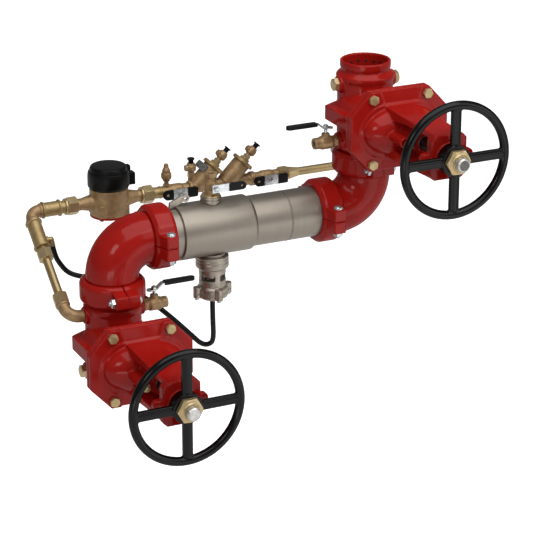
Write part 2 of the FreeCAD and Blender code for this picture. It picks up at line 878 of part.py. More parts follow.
def coupling_places():
    """Each coupling's middle and the turn that lays it in the line."""
    flat = FreeCAD.Rotation(BACK, 90)
    upright = FreeCAD.Rotation()
    first = valve_length + end_gap / 2
    last = run_height + elbow_reach + end_gap / 2
    return [FreeCAD.Placement(V(0, 0, first), upright),
            FreeCAD.Placement(V(run_start - end_gap / 2, 0, run_height), flat),
            FreeCAD.Placement(V(run_end + end_gap / 2, 0, run_height), flat),
            FreeCAD.Placement(V(outlet_x, 0, last), upright)]


def with_placement(shape, placement):
    """A copy of a shape, placed."""
    placed = shape.copy()
    placed.Placement = placement.multiply(placed.Placement)
    return placed


def check_housing():
    """The stainless housing: a wide chamber, a narrow one and grooved ends."""
    grip = lip_length + groove_width
    big = housing_big_radius
    outline = [(0, run_start), (pipe_radius, run_start), (pipe_radius, run_start + lip_length),
               (groove_radius, run_start + lip_length), (groove_radius, run_start + grip),
               (pipe_radius, run_start + grip), (pipe_radius, housing_big_start),
               (big, housing_big_start + housing_step), (big, housing_big_end),
               (pipe_radius, housing_big_end + housing_cone), (pipe_radius, weld_x - weld_half_width),
               (pipe_radius + weld_rise, weld_x), (pipe_radius, weld_x + weld_half_width),
               (pipe_radius, run_end - grip), (groove_radius, run_end - grip),
               (groove_radius, run_end - lip_length),
               (pipe_radius, run_end - lip_length), (pipe_radius, run_end), (0, run_end)]
    narrow = pipe_radius - housing_wall
    wide = big - housing_wall
    inside = [(0, run_start - 1), (narrow, run_start - 1), (narrow, housing_big_start + housing_wall),
              (wide, housing_big_start + housing_wall + housing_step),
              (wide, housing_big_end - housing_wall),
              (narrow, housing_big_end + housing_cone - housing_wall), (narrow, run_end + 1),
              (0, run_end + 1)]
    step_level = top_ring_height - top_ring_step
    top_ring = joined(rod(top_ring_radius, V(top_port_x, 0, wide), V(top_port_x, 0, step_level)),
                      rod(top_ring_radius - 1.6, V(top_port_x, 0, wide), V(top_port_x, 0, top_ring_height)),
                      rod(top_ring_radius, V(top_port_x, 0, step_level + 2),
                          V(top_port_x, 0, top_ring_height)))
    stub = rod(relief_stub_radius, V(relief_x, 0, 0), V(relief_x, 0, -collar_top))
    tab = plate([V(tab_start, -tab_thickness / 2, narrow),
                 V(tab_start + tab_width, -tab_thickness / 2, narrow),
                 V(tab_start + tab_reach + 6, -tab_thickness / 2, pipe_radius + tab_rise - 9),
                 V(tab_start + tab_reach, -tab_thickness / 2, pipe_radius + tab_rise)],
                V(0, tab_thickness, 0))
    outer = joined(turned(outline, ORIGIN, RIGHT), top_ring, stub, tab)
    hole = V(tab_start + tab_reach - 3, 0, pipe_radius + tab_rise - 9)
    tools = [turned(inside, ORIGIN, RIGHT),
             rod(top_socket_radius, V(top_port_x, 0, 0), V(top_port_x, 0, top_ring_height + 1)),
             rod(relief_port_radius, V(relief_x, 0, 0), V(relief_x, 0, -collar_top - 1)),
             rod(tab_hole_radius, hole + FRONT * tab_thickness, hole + BACK * tab_thickness)]
    return moved(cut(outer, *tools), UP * run_height)


def check_seat(x):
    """The seat ring of a main check, with two ears for the hinge pin."""
    ring_radius = pipe_radius - housing_wall - check_ring_play
    seat = ring(ring_radius, check_bore_radius, V(x, 0, 0), V(x + check_ring_width, 0, 0))
    pin_x = x + check_ring_width + check_hinge_forward
    ears = []
    for side in (-1, 1):
        near = side * (check_knuckle_half + check_ring_play)
        far = near + side * check_ear_thickness
        low, high = min(near, far), max(near, far)
        ears.append(block(V(x, low, check_disc_radius + 2.5),
                          V(pin_x + check_knuckle_radius, high, check_hinge_height + 5)))
    hole = rod(check_pin_radius + check_pin_play, V(pin_x, -30, check_hinge_height),
               V(pin_x, 30, check_hinge_height))
    return moved(cut(joined(seat, *ears), hole), UP * run_height)


def check_pin(x):
    """The hinge pin of a main check."""
    pin_x = x + check_ring_width + check_hinge_forward
    half = check_knuckle_half + check_ring_play + check_ear_thickness
    return rod(check_pin_radius, V(pin_x, -half, run_height + check_hinge_height),
               V(pin_x, half, run_height + check_hinge_height))


def check_clapper(x):
    """The swinging disc with its arm and knuckle."""
    face = x + check_ring_width + check_ring_play
    pin_x = x + check_ring_width + check_hinge_forward
    disc = turned([(0, 0), (check_disc_radius, 0), (check_disc_radius, check_disc_thickness - 2),
                   (check_disc_radius - 4, check_disc_thickness), (0, check_disc_thickness)],
                  V(face, 0, 0), RIGHT)
    boss = rod(10, V(face, 0, 0), V(face + check_disc_thickness + 4, 0, 0))
    arm = block(V(face + 1, -9, 0), V(face + check_disc_thickness + 3, 9, check_hinge_height))
    knuckle = rod(check_knuckle_radius, V(pin_x, -check_knuckle_half, check_hinge_height),
                  V(pin_x, check_knuckle_half, check_hinge_height))
    hole = rod(check_pin_radius + check_pin_play, V(pin_x, -30, check_hinge_height),
               V(pin_x, 30, check_hinge_height))
    return moved(cut(joined(disc, boss, arm, knuckle), hole), UP * run_height)


def relief_bosses(top, bottom):
    """Four screw bosses round the relief valve's lower flange."""
    bosses = []
    for x, y in relief_screw_places():
        bosses.append(rod(relief_boss_radius, V(x, y, -top), V(x, y, -bottom)))
    return bosses


def relief_screw_places():
    """The four cover screws about the relief valve's axis."""
    away = relief_boss_circle
    return [(away, 0), (0, away), (-away, 0), (0, -away)]


def collar_steps():
    """Two shallow grooves round the collar, as (radius, level)."""
    steps = []
    for groove in range(2):
        level = collar_top + 5 + collar_groove_pitch * groove
        steps += [(collar_radius, level), (collar_radius - collar_groove, level + 1),
                  (collar_radius - collar_groove, level + 2.5), (collar_radius, level + 3.5)]
    return steps


def relief_body():
    """Collar, windowed barrel and lower flange of the relief valve."""
    inner = relief_radius - relief_wall
    outline = [(0, collar_top), (collar_radius - 2, collar_top), (collar_radius, collar_top + 2),
               *collar_steps(), (collar_radius, collar_bottom), (relief_radius, relief_neck_top),
               (relief_radius, relief_flange_top - 5), (relief_flange_radius, relief_flange_top),
               (relief_flange_radius, relief_flange_bottom), (0, relief_flange_bottom)]
    outer = joined(turned(outline, ORIGIN, DOWN),
                   *relief_bosses(relief_flange_top - 4, relief_flange_bottom))
    ledge_end = relief_ledge_level + relief_ledge_thickness
    tools = [rod(relief_port_radius, DOWN * (collar_top - 1), DOWN * (relief_seat_level + 1)),
             rod(inner, DOWN * relief_seat_level, DOWN * relief_ledge_level),
             rod(relief_ledge_radius, DOWN * relief_seat_level, DOWN * (ledge_end + 1)),
             rod(inner, DOWN * ledge_end, DOWN * (relief_flange_bottom + 1))]
    middle = relief_window_top + relief_window_height / 2
    window = centred_block(V(relief_radius, 0, -middle), relief_radius, relief_window_width,
                           relief_window_height)
    for quarter in range(4):
        opening = window.copy()
        opening.rotate(ORIGIN, UP, 45 + 90 * quarter)
        tools.append(opening)
    for x, y in relief_screw_places():
        tools.append(rod(cover_screw_radius + 0.1, V(x, y, -relief_flange_top + 1),
                         V(x, y, -relief_flange_bottom - 1)))
    return cut(outer, *tools)


def relief_plunger():
    """Valve disc, rod and pressure plate, standing open as it does without water."""
    top = relief_seat_level + seat_gap + plunger_travel
    disc_end = top + plunger_disc_thickness
    plate_end = plunger_plate_level + plunger_plate_thickness
    outline = [(0, top), (plunger_disc_radius, top), (plunger_disc_radius, disc_end),
               (plunger_rod_radius, disc_end), (plunger_rod_radius, plunger_plate_level),
               (plunger_plate_radius, plunger_plate_level), (plunger_plate_radius, plate_end),
               (0, plate_end)]
    return turned(outline, ORIGIN, DOWN)


def relief_spring():
    """The coil that pushes the plunger open: tilted half turns that meet along the wire."""
    top = relief_ledge_level + relief_ledge_thickness + spring_wire_radius + 0.1
    bottom = plunger_plate_level - spring_wire_radius - seat_gap
    halves = 2 * spring_turns
    rise = (bottom - top) / halves
    reach = math.hypot(spring_radius, rise / 2)
    edges = []
    for index in range(halves):
        side = 1 if index % 2 == 0 else -1
        edges.append(Part.Arc(V(side * spring_radius, 0, index * rise),
                              V(0, side * reach, (index + 0.5) * rise),
                              V(-side * spring_radius, 0, (index + 1) * rise)).toShape())
    profile = Part.Wire(Part.Circle(V(spring_radius, 0, 0), BACK, spring_wire_radius).toShape())
    return moved(Part.Wire(edges).makePipeShell([profile], True, False), DOWN * bottom)


def relief_diaphragm():
    """The rubber sheet clamped between body and cover."""
    top = relief_flange_bottom
    sheet = joined(rod(relief_flange_radius, DOWN * top, DOWN * (top + diaphragm_thickness)),
                   *relief_bosses(top, top + diaphragm_thickness))
    holes = [rod(cover_screw_radius + 0.1, V(x, y, -top + 1), V(x, y, -top - 10))
             for x, y in relief_screw_places()]
    return cut(sheet, *holes)


def relief_cover():
    """The dished bottom cover with the nipple for the sensing hose."""
    top = relief_flange_bottom + diaphragm_thickness
    flange_end = top + cover_flange_thickness
    dish_end = flange_end + cover_dish_depth
    outline = [(0, top), (relief_flange_radius, top), (relief_flange_radius, flange_end),
               (cover_dish_radius + 7, flange_end), (cover_dish_radius, dish_end), (0, dish_end)]
    outer = joined(turned(outline, ORIGIN, DOWN), *relief_bosses(top, flange_end))
    tools = [turned([(0, top - 1), (relief_flange_radius - 9, top - 1), (relief_flange_radius - 9, top + 3),
                     (cover_dish_radius - 8, dish_end - 4), (0, dish_end - 4)], ORIGIN, DOWN),
             rod(3, DOWN * top, DOWN * (dish_end + 1))]
    for x, y in relief_screw_places():
        tools.append(rod(cover_screw_radius + 0.1, V(x, y, -top + 1), V(x, y, -flange_end - 1)))
    return cut(outer, *tools), dish_end


def cover_screw(x, y):
    """One socket screw, put in from below."""
    seat = relief_flange_bottom + diaphragm_thickness + cover_flange_thickness
    shank = rod(cover_screw_radius, V(x, y, -relief_flange_top), V(x, y, -seat))
    head = rod(cover_screw_head_radius, V(x, y, -seat), V(x, y, -seat - cover_screw_head_height))
    return joined(shank, head)


def ball_valve_body(radius, end_radius, back, fore, bore, neck_radius_here, neck_height, extras=()):
    """A ball valve about its ball: bore along X, stem neck along Z."""
    outline = [(0, -back), (end_radius, -back), (end_radius, -ball_radius - 6),
               (radius, -ball_radius), (radius, ball_radius), (end_radius, ball_radius + 6),
               (end_radius, fore), (0, fore)]
    neck = rod(neck_radius_here, ORIGIN, UP * neck_height)
    outer = joined(turned(outline, ORIGIN, RIGHT), neck, *extras)
    return cut(outer, Part.makeSphere(ball_radius + ball_play),
               rod(bore, LEFT * (back + 30), RIGHT * (fore + 30)),
               rod(valve_stem_radius + valve_stem_play, ORIGIN, UP * (neck_height + 1)))


def ball_and_stem(stem_height):
    """The bored ball and its stem in one piece."""
    ball = cut(Part.makeSphere(ball_radius), rod(ball_bore_radius, LEFT * 30, RIGHT * 30))
    stem_base = UP * (ball_radius - 2)
    return joined(ball, rod(valve_stem_radius, stem_base, UP * stem_height))


def lever_cock_body():
    """The cock on a main valve: spigot to the left, open port to the right."""
    back = cock_centre
    spigot = rod(spigot_radius, LEFT * (back + plug_thread_length), LEFT * (back - 1))
    collar = hexagon(2 * cock_end_radius, LEFT * back, LEFT * (back - 8))
    return ball_valve_body(cock_body_radius, cock_end_radius, back, cock_length - cock_centre,
                           cock_bore_radius, cock_neck_radius, cock_neck_height, (spigot, collar))


def lever():
    """The cranked steel lever and its grip, pointing right from the stem."""
    low = lever_height
    high = lever_height + lever_step
    side = [V(-9, 0, low), V(6, 0, low), V(6 + lever_step_length, 0, high), V(lever_length - 8, 0, high),
            V(lever_length - 8, 0, high + lever_thickness),
            V(4 + lever_step_length, 0, high + lever_thickness),
            V(4, 0, low + lever_thickness), V(-9, 0, low + lever_thickness)]
    side = [corner + V(0, -lever_width / 2, 0) for corner in side]
    strip = plate(side, V(0, lever_width, 0))
    nut = hexagon(11, UP * (low + lever_thickness), UP * (low + lever_thickness + 5))
    strip = cut(joined(strip, nut), rod(valve_stem_radius, ORIGIN, UP * (low + lever_thickness + 3)))
    middle = high + lever_thickness / 2
    start = lever_length - grip_length
    grip = joined(centred_block(V((start + lever_length - grip_width / 2) / 2, 0, middle),
                                grip_length - grip_width / 2, grip_width, grip_thickness),
                  rod(grip_width / 2, V(lever_length - grip_width / 2, 0, middle - grip_thickness / 2),
                      V(lever_length - grip_width / 2, 0, middle + grip_thickness / 2)))
    return [strip, cut(grip, strip)]


def housing_cock_body():
    """The upright cock on the housing: foot below, open port above, stem to the front."""
    foot = rod(housing_cock_foot_radius, ORIGIN, UP * housing_cock_foot_height)
    spigot = rod(top_socket_radius - thread_play, DOWN * plug_thread_length, ORIGIN)
    barrel = rod(housing_cock_radius, ORIGIN, UP * housing_cock_height)
    crown = hexagon(2 * housing_cock_radius + 1, UP * (housing_cock_height - 9), UP * housing_cock_height)
    centre = UP * housing_cock_centre
    neck = rod(cock_neck_radius, centre, centre + FRONT * (housing_lever_reach - 8))
    outer = joined(foot, spigot, barrel, crown, neck)
    ball_room = Part.makeSphere(ball_radius + ball_play, centre)
    return cut(outer, ball_room,
               rod(cock_bore_radius, DOWN * 30, UP * (housing_cock_height + 1)),
               rod(valve_stem_radius + valve_stem_play, centre, centre + FRONT * housing_lever_reach))


def flat_lever():
    """The flat lever of the housing cock, standing in the XZ plane and pointing right."""
    half = housing_lever_width / 2
    back = housing_lever_reach - 3
    plate_end = housing_lever_length - housing_grip_length + 8
    strip = block(V(-half, -back - lever_thickness, -half), V(plate_end, -back, half))
    nut = hexagon(10, V(0, -back - lever_thickness, 0), V(0, -back - lever_thickness - 4, 0))
    strip = cut(joined(strip, nut), rod(valve_stem_radius, ORIGIN, FRONT * (back + lever_thickness + 2)))
    start = housing_lever_length - housing_grip_length
    middle = -back - lever_thickness / 2
    end = housing_lever_length - half
    grip = joined(centred_block(V((start + end) / 2, middle, 0), end - start, tee_grip_thickness,
                                housing_lever_width),
                  rod(half, V(end, middle - tee_grip_thickness / 2, 0),
                      V(end, middle + tee_grip_thickness / 2, 0)))
    hole = rod(tee_hole_radius, V(end, middle - 20, 0), V(end, middle + 20, 0))
    return [strip, cut(grip, strip, hole)]


def tee_handle():
    """The tee handle of a bypass valve: steel plate in the middle, a grip at each end."""
    half = tee_height / 2
    back = tee_reach - 3
    near = -back
    far = -back - tee_plate_thickness
    strip = block(V(-tee_half_length + 12, far, -half + 4), V(tee_half_length - 12, near, half - 4))
    middle_plate = block(V(-tee_plate_half, far, -half), V(tee_plate_half, near, half))
    nut = hexagon(10, V(0, far, 0), V(0, far - 4, 0))
    strip = cut(joined(strip, middle_plate, nut), rod(valve_stem_radius, ORIGIN, V(0, far - 2, 0)))
    grips = []
    mid = (near + far) / 2
    for side in (-1, 1):
        inner = side * tee_plate_half
        outer = side * (tee_half_length - half)
        low, high = min(inner, outer), max(inner, outer)
        bar = block(V(low, mid - tee_grip_thickness / 2, -half), V(high, mid + tee_grip_thickness / 2, half))
        end = rod(half, V(outer, mid - tee_grip_thickness / 2, 0), V(outer, mid + tee_grip_thickness / 2, 0))
        grip = joined(bar, end)
        if side < 0:
            grip = cut(grip, rod(tee_hole_radius, V(outer, mid - 20, 0), V(outer, mid + 20, 0)))
        grips.append(cut(grip, strip))
    return [strip] + grips


def facing_front(shapes, centre):
    """Shapes built with their stem along Z, turned so that the stem points to the front."""
    turned_shapes = []
    for shape in shapes:
        placed = shape.copy()
        placed.rotate(ORIGIN, RIGHT, 90)
        placed.translate(centre)
        turned_shapes.append(placed)
    return turned_shapes


def fitting_elbow(corner, way_a, way_b, reach, bend_radius):
    """A cast right-angle fitting; the reach is the distance from its corner to each mouth."""
    start = corner + way_a * reach
    end = corner + way_b * reach
    return bent_pipe(fitting_radius, [start, corner, end], [bend_radius])[0]


def mouth_rim(corner, way, reach):
    """The raised ring round a fitting's mouth."""
    mouth = corner + way * reach
    return rod(fitting_rim_radius, mouth - way * fitting_rim_length, mouth)


def rimmed_sleeve(start, end):
    """A pipe sleeve with a raised rim at each end."""
    way = (end - start).normalize()
    return joined(rod(sleeve_coupling_radius, start, end),
                  rod(sleeve_rim_radius, start, start + way * sleeve_rim_length),
                  rod(sleeve_rim_radius, end - way * sleeve_rim_length, end))


def leg(top_corner, foot_corner):
    """The pieces of a bypass leg between two elbows, listed by kind."""
    way = (foot_corner - top_corner).normalize()
    sleeve_start = top_corner + way * fitting_reach
    sleeve_end = sleeve_start + way * leg_sleeve_length
    nut_start = sleeve_end + way * leg_nut_gap
    nut_end = nut_start + way * hex_nut_length
    low_nut_end = foot_corner - way * foot_reach
    low_nut_start = low_nut_end - way * hex_nut_length
    sleeve = rimmed_sleeve(sleeve_start, sleeve_end)
    nuts = [hexagon(hex_nut_flats, nut_start, nut_end), hexagon(hex_nut_flats, low_nut_start, low_nut_end)]
    tubes = [rod(nipple_radius, sleeve_end, nut_start), rod(bypass_tube_radius, nut_end, low_nut_start)]
    return sleeve, nuts, tubes, way


os.makedirs("parts", exist_ok=True)

# Gate valves
valve_places = {"inlet": V(0, 0, inlet_mid), "outlet": V(outlet_x, 0, outlet_mid)}
body_casting = valve_body()
bonnet_casting = valve_bonnet()
gate = wedge()
rising_stem = stem()
wheel = handwheel()
nut_sleeve = yoke_nut()
for side_name, place in valve_places.items():
    save(side_name + "_valve_body", moved(body_casting, place))
    save(side_name + "_valve_bonnet", moved(bonnet_casting, place))
    save(side_name + "_wedge", moved(gate, place))
    save(side_name + "_stem", moved(rising_stem, place))
    save(side_name + "_handwheel", moved(wheel, place))
    save(side_name + "_yoke_nut", moved(nut_sleeve, place))
places = list(valve_places.values())
save("gland_followers", *[moved(gland(), place) for place in places])
save("bonnet_gaskets", *[moved(bonnet_gasket(), place) for place in places])
save("stem_packings", *[moved(packing(), place) for place in places])
bolts = [piece for x, z in bolt_places() for piece in bonnet_bolt(x, z)]
save("bonnet_bolts", *[moved(piece, place) for place in places for piece in bolts])
studs = gland_bolt(-1) + gland_bolt(1)
save("gland_bolts", *[moved(piece, place) for place in places for piece in studs])
plugs = [port_plug(side, inlet_mid - port_offset) for side in (-1, 1)]
plugs += [moved(port_plug(side, outlet_mid + port_offset), V(outlet_x, 0, 0)) for side in (-1, 1)]
save("port_plugs", *plugs)

# Elbows and couplings
corner_in = V(0, 0, run_height)
corner_out = V(outlet_x, 0, run_height)
cast_elbow = elbow()
save("inlet_elbow", moved(cast_elbow, corner_in))
outlet_elbow = cast_elbow.copy()
outlet_elbow.rotate(ORIGIN, BACK, 180)
save("outlet_elbow", moved(outlet_elbow, corner_out))
left_half = coupling_half()
right_half = left_half.mirror(ORIGIN, RIGHT)
seal = coupling_gasket()
clamp = [piece for side in (-1, 1) for piece in clamp_bolt(side)]
halves, seals, clamps = [], [], []
for placement in coupling_places():
    halves += [with_placement(left_half, placement), with_placement(right_half, placement)]
    seals.append(with_placement(seal, placement))
    clamps += [with_placement(piece, placement) for piece in clamp]
save("coupling_halves", *halves)
save("coupling_gaskets", *seals)
save("coupling_bolts", *clamps)

# Housing and main checks
save("check_housing", check_housing())
save("check_seats", check_seat(check_first_x), check_seat(check_second_x))
save("check_hinge_pins", check_pin(check_first_x), check_pin(check_second_x))
save("first_check_clapper", check_clapper(check_first_x))
save("second_check_clapper", check_clapper(check_second_x))

# Relief valve
relief_place = V(relief_x, 0, run_height)
cover, cover_depth = relief_cover()
save("relief_body", moved(relief_body(), relief_place))
save("relief_plunger", moved(relief_plunger(), relief_place))
save("relief_spring", moved(relief_spring(), relief_place))
save("relief_diaphragm", moved(relief_diaphragm(), relief_place))
save("relief_cover", moved(cover, relief_place))
save("relief_cover_screws", *[moved(cover_screw(x, y), relief_place) for x, y in relief_screw_places()])

# Lever cocks on the main valves
cock_reach = port_face + cock_centre
cock_places = {"inlet": (V(cock_reach, 0, inlet_mid + port_offset), 0),
               "outlet": (V(outlet_x - cock_reach, 0, outlet_mid - port_offset), 180)}
cock_casting = lever_cock_body()
cock_ball = ball_and_stem(lever_height + lever_thickness + 3)
cock_lever = lever()
cock_bodies = []
for side_name, (place, turn) in cock_places.items():
    placement = FreeCAD.Placement(place, FreeCAD.Rotation(UP, turn))
    cock_bodies.append(with_placement(cock_casting, placement))
    save(side_name + "_cock_ball", with_placement(cock_ball, placement))
    save(side_name + "_cock_lever", *[with_placement(piece, placement) for piece in cock_lever])
save("lever_cock_bodies", *cock_bodies)

# Cock on the housing
housing_cock_place = V(top_port_x, 0, run_height + top_ring_height)
stem_length = housing_lever_reach - 3 + lever_thickness + 2
housing_ball_centre = housing_cock_place + UP * housing_cock_centre
upright_ball = cut(Part.makeSphere(ball_radius), rod(ball_bore_radius, DOWN * 30, UP * 30))
housing_ball = joined(upright_ball, rod(valve_stem_radius, FRONT * (ball_radius - 2), FRONT * stem_length))
save("housing_cock_body", moved(housing_cock_body(), housing_cock_place))
save("housing_cock_ball", moved(housing_ball, housing_ball_centre))
save("housing_cock_lever", *[moved(piece, housing_ball_centre) for piece in flat_lever()])

# Bypass legs
left_top = V(-leg_spread, bypass_back, bypass_z)
left_foot = V(-leg_spread, 0, inlet_mid + port_offset)
right_top = V(outlet_x + leg_spread, bypass_back, bypass_z)
right_foot = V(outlet_x + leg_spread, 0, outlet_mid - port_offset)
left_sleeve, left_nuts, left_tubes, left_way = leg(left_top, left_foot)
right_sleeve, right_nuts, right_tubes, right_way = leg(right_top, right_foot)
elbows = []
for top, foot, inward, down in ((left_top, left_foot, RIGHT, left_way),
                                (right_top, right_foot, LEFT, right_way)):
    elbows.append(joined(fitting_elbow(top, inward, down, fitting_reach, fitting_bend),
                         mouth_rim(top, inward, fitting_reach), mouth_rim(top, down, fitting_reach)))
    elbows.append(joined(fitting_elbow(foot, down * -1, inward, foot_reach, foot_bend),
                         mouth_rim(foot, down * -1, foot_reach)))
spigots = [rod(spigot_radius, left_foot + RIGHT * foot_reach,
               V(-port_face + plug_thread_length, 0, left_foot.z)),
           rod(spigot_radius, right_foot + LEFT * foot_reach,
               V(outlet_x + port_face - plug_thread_length, 0, right_foot.z))]

# Pieces along the bypass, on its own axis
def on_line(x):
    """A point on the bypass axis."""
    return V(x, bypass_back, bypass_z)


sleeve_start = left_top + RIGHT * fitting_reach
sleeve_end = sleeve_start + RIGHT * sleeve_coupling_length
boss_spot = left_top + left_way * (fitting_reach + leg_sleeve_length - leg_boss_back)
boss_end = boss_spot + RIGHT * (sleeve_coupling_radius + leg_boss_length)
left_sleeve = joined(left_sleeve, rod(leg_boss_radius, boss_spot, boss_end))
sleeves = [rimmed_sleeve(sleeve_start, sleeve_end), left_sleeve, right_sleeve]
save("bypass_fittings", *(elbows + sleeves))

lay_left = meter_x - meter_lay_half
lay_right = meter_x + meter_lay_half
shutoff_left = shutoff_first_x - shutoff_half_length
small_start = shutoff_first_x + shutoff_half_length
small_end = shutoff_second_x - shutoff_half_length
line_nut_start = shutoff_second_x + shutoff_half_length
cone_start = line_nut_start + reducer_nut_length
cone_end = cone_start + reducer_cone_length
tubes = left_tubes + right_tubes + spigots
tubes += [rod(nipple_radius, sleeve_end, on_line(lay_left)),
          rod(nipple_radius, on_line(lay_right), on_line(shutoff_left)),
          rod(bypass_tube_radius, on_line(cone_end), right_top + LEFT * fitting_reach)]
save("bypass_tubes", *tubes)

line_nuts = []
for middle, way in ((on_line(lay_left), RIGHT), (on_line(lay_right), LEFT)):
    outer_end = middle - way * (union_nut_length / 2)
    inner_end = middle + way * (union_nut_length / 2)
    nut = hexagon(union_nut_flats, outer_end, inner_end)
    line_nuts.append(cut(nut, rod(nipple_radius, outer_end - way, middle + way),
                         rod(meter_neck_radius, middle, inner_end + way)))
reducer = joined(hexagon(hex_nut_flats, on_line(line_nut_start), on_line(cone_start)),
                 turned([(0, 0), (hex_nut_flats / 2, 0), (bypass_tube_radius + 1, reducer_cone_length),
                         (0, reducer_cone_length)], on_line(cone_start), RIGHT))
save("bypass_nuts", *(left_nuts + right_nuts + line_nuts + [reducer]))

# Meter
meter_axis = V(meter_x, bypass_back, bypass_z)
case_top = meter_axis + UP * meter_case_top
case_bottom = meter_axis + UP * meter_case_bottom
corners = V(meter_corner_half_x, meter_corner_half_y, 0)
necks = turned([(0, -meter_lay_half), (meter_neck_radius, -meter_lay_half),
                (meter_neck_radius, -meter_neck_tip), (meter_neck_root_radius, -meter_neck_root),
                (meter_neck_root_radius, meter_neck_root), (meter_neck_radius, meter_neck_tip),
                (meter_neck_radius, meter_lay_half), (0, meter_lay_half)], meter_axis, RIGHT)
case = joined(rod(meter_case_radius, case_bottom, case_top), necks,
              block(case_bottom - corners, meter_axis + corners + UP * meter_corner_top))
save("meter_case", case)
plate_bottom = case_bottom + DOWN * meter_plate_thickness
save("meter_base_plate", joined(rod(meter_case_radius, plate_bottom, case_bottom),
                                block(plate_bottom - corners, case_bottom + corners)))
register_top = case_top + UP * register_height
hinge = register_top + UP * (lid_gap + lid_hinge_radius) + RIGHT * lid_hinge_reach
ear_low = register_top + DOWN * (register_height / 3)
ears = []
for side in (-1, 1):
    near = side * (lid_knuckle_half + lid_gap)
    far = near + side * lid_ear_width
    low, high = min(near, far), max(near, far)
    ears.append(block(V(meter_x + register_radius - 8, bypass_back + low, ear_low.z),
                      V(hinge.x + lid_hinge_radius - 1, bypass_back + high, hinge.z + 1)))
pin_hole = rod(lid_pin_radius + 0.1, hinge + FRONT * 30, hinge + BACK * 30)
drum = turned([(0, 0), (register_radius - register_foot, 0), (register_radius, register_foot),
               (register_radius, 0.7 * register_height),
               (register_radius - register_taper, register_height), (0, register_height)], case_top, UP)
lug_top = case_top.z + register_lug_height
lug = block(V(meter_x, bypass_back - register_lug_half, case_top.z + 1),
            V(meter_x + register_lug_reach, bypass_back + register_lug_half, lug_top))
dial = joined(drum, lug, *ears)
lid_room = rod(lid_radius + 1, register_top, register_top + UP * 30)
save("meter_register", cut(dial, pin_hole, lid_room))
lid_base = register_top + UP * lid_gap
crown_radius = lid_radius - lid_taper
dome = turned([(0, 0), (lid_radius, 0), (crown_radius, lid_height - lid_lip),
               (crown_radius - lid_lip, lid_height), (0, lid_height)], lid_base, UP)
knuckle = rod(lid_hinge_radius, hinge + FRONT * lid_knuckle_half, hinge + BACK * lid_knuckle_half)
strap = block(V(meter_x + lid_radius - 6, bypass_back - lid_knuckle_half, lid_base.z),
              V(hinge.x, bypass_back + lid_knuckle_half, lid_base.z + 2 * lid_hinge_radius))
lid_pin = rod(lid_pin_radius, hinge + FRONT * (lid_knuckle_half + lid_ear_width),
              hinge + BACK * (lid_knuckle_half + lid_ear_width))
save("meter_lid", joined(dome, knuckle, strap, lid_pin))

# Bypass shut-off valves
shutoff = ball_valve_body(shutoff_radius, shutoff_end_radius, shutoff_half_length,
                          shutoff_half_length, cock_bore_radius, cock_neck_radius, cock_neck_height)
shutoff_places = {"first": on_line(shutoff_first_x), "second": on_line(shutoff_second_x)}
shutoff_ball = ball_and_stem(tee_reach + 1)
save("shutoff_bodies", *[facing_front([shutoff], place)[0] for place in shutoff_places.values()])
for side_name, place in shutoff_places.items():
    save(side_name + "_shutoff_ball", *facing_front([shutoff_ball], place))
    save(side_name + "_tee_handle", *[moved(piece, place) for piece in tee_handle()])

# Small backflow preventer
slope = V(1, 0, 1).normalize()
chambers = []
for x in (small_chamber_first_x, small_chamber_second_x):
    chambers.append(rod(small_chamber_radius, on_line(x), on_line(x) + slope * small_chamber_length))
down_slope = V(1, 0, -1).normalize()
inlet_hub = rod(small_hub_radius, on_line(small_start), on_line(small_start + small_hub_length))
outlet_hub = rod(small_hub_radius, on_line(small_end - small_hub_length), on_line(small_end))
vertical_foot = on_line(vertical_cock_x)
small_body = joined(rod(small_run_radius, on_line(small_start), on_line(small_end)), inlet_hub,
                    outlet_hub, *chambers,
                    rod(small_cock_radius - 2, vertical_foot, vertical_foot + UP * small_run_radius * 2))
save("small_preventer_body", small_body)
covers, cocks, caps = [], [], []
mounts = [(vertical_foot + UP * small_run_radius * 2, UP)]
for x in (small_chamber_first_x, small_chamber_second_x):
    top = on_line(x) + slope * small_chamber_length
    rim = top + slope * small_cover_thickness
    crown = rim + slope * small_cover_hex_height
    covers.append(joined(turned([(0, 0), (small_cover_radius, 0),
                                 (small_cover_radius, small_cover_thickness - 2),
                                 (small_cover_radius - 2, small_cover_thickness), (0, small_cover_thickness)],
                                top, slope),
                         hexagon(small_cover_hex_flats, rim, crown)))
    mounts.append((crown, slope))
save("small_preventer_covers", *covers)
for foot, way in mounts:
    neck_top = foot + way * small_cock_neck_length
    body_top = neck_top + way * small_cock_length
    side_way = way.cross(BACK)
    middle = neck_top + way * (small_cock_length / 2)
    outlet_boss = rod(small_cock_radius - 3, middle, middle + side_way * (small_cock_radius + 4))
    cocks.append(joined(rod(small_cock_neck_radius, foot, neck_top),
                        rod(small_cock_radius, neck_top, body_top), outlet_boss))
    cap_rim = body_top + way * (small_cap_length - 3)
    caps.append(joined(rod(small_cap_radius, body_top, cap_rim),
                       rod(small_cap_rim_radius, cap_rim, body_top + way * small_cap_length)))
bleed_foot = on_line(bleed_x) + UP * (shutoff_end_radius - tap_saddle_depth / 2)
bleeder = turned([(0, 0), (bleed_foot_radius, 0), (bleed_foot_radius, 0.12 * bleed_height),
                  (bleed_neck_radius, 0.18 * bleed_height), (bleed_neck_radius, 0.24 * bleed_height),
                  (bleed_body_radius, 0.32 * bleed_height), (bleed_body_radius, 0.6 * bleed_height),
                  (bleed_neck_radius, 0.88 * bleed_height), (bleed_tip_radius, bleed_height),
                  (0, bleed_height)], bleed_foot, UP)
bleed_seat = shutoff_places["first"]
bleeder = cut(bleeder, rod(shutoff_end_radius, bleed_seat + LEFT * shutoff_half_length,
                           bleed_seat + RIGHT * shutoff_half_length))
save("test_cocks", *(cocks + [bleeder]))
save("cock_caps", *caps)

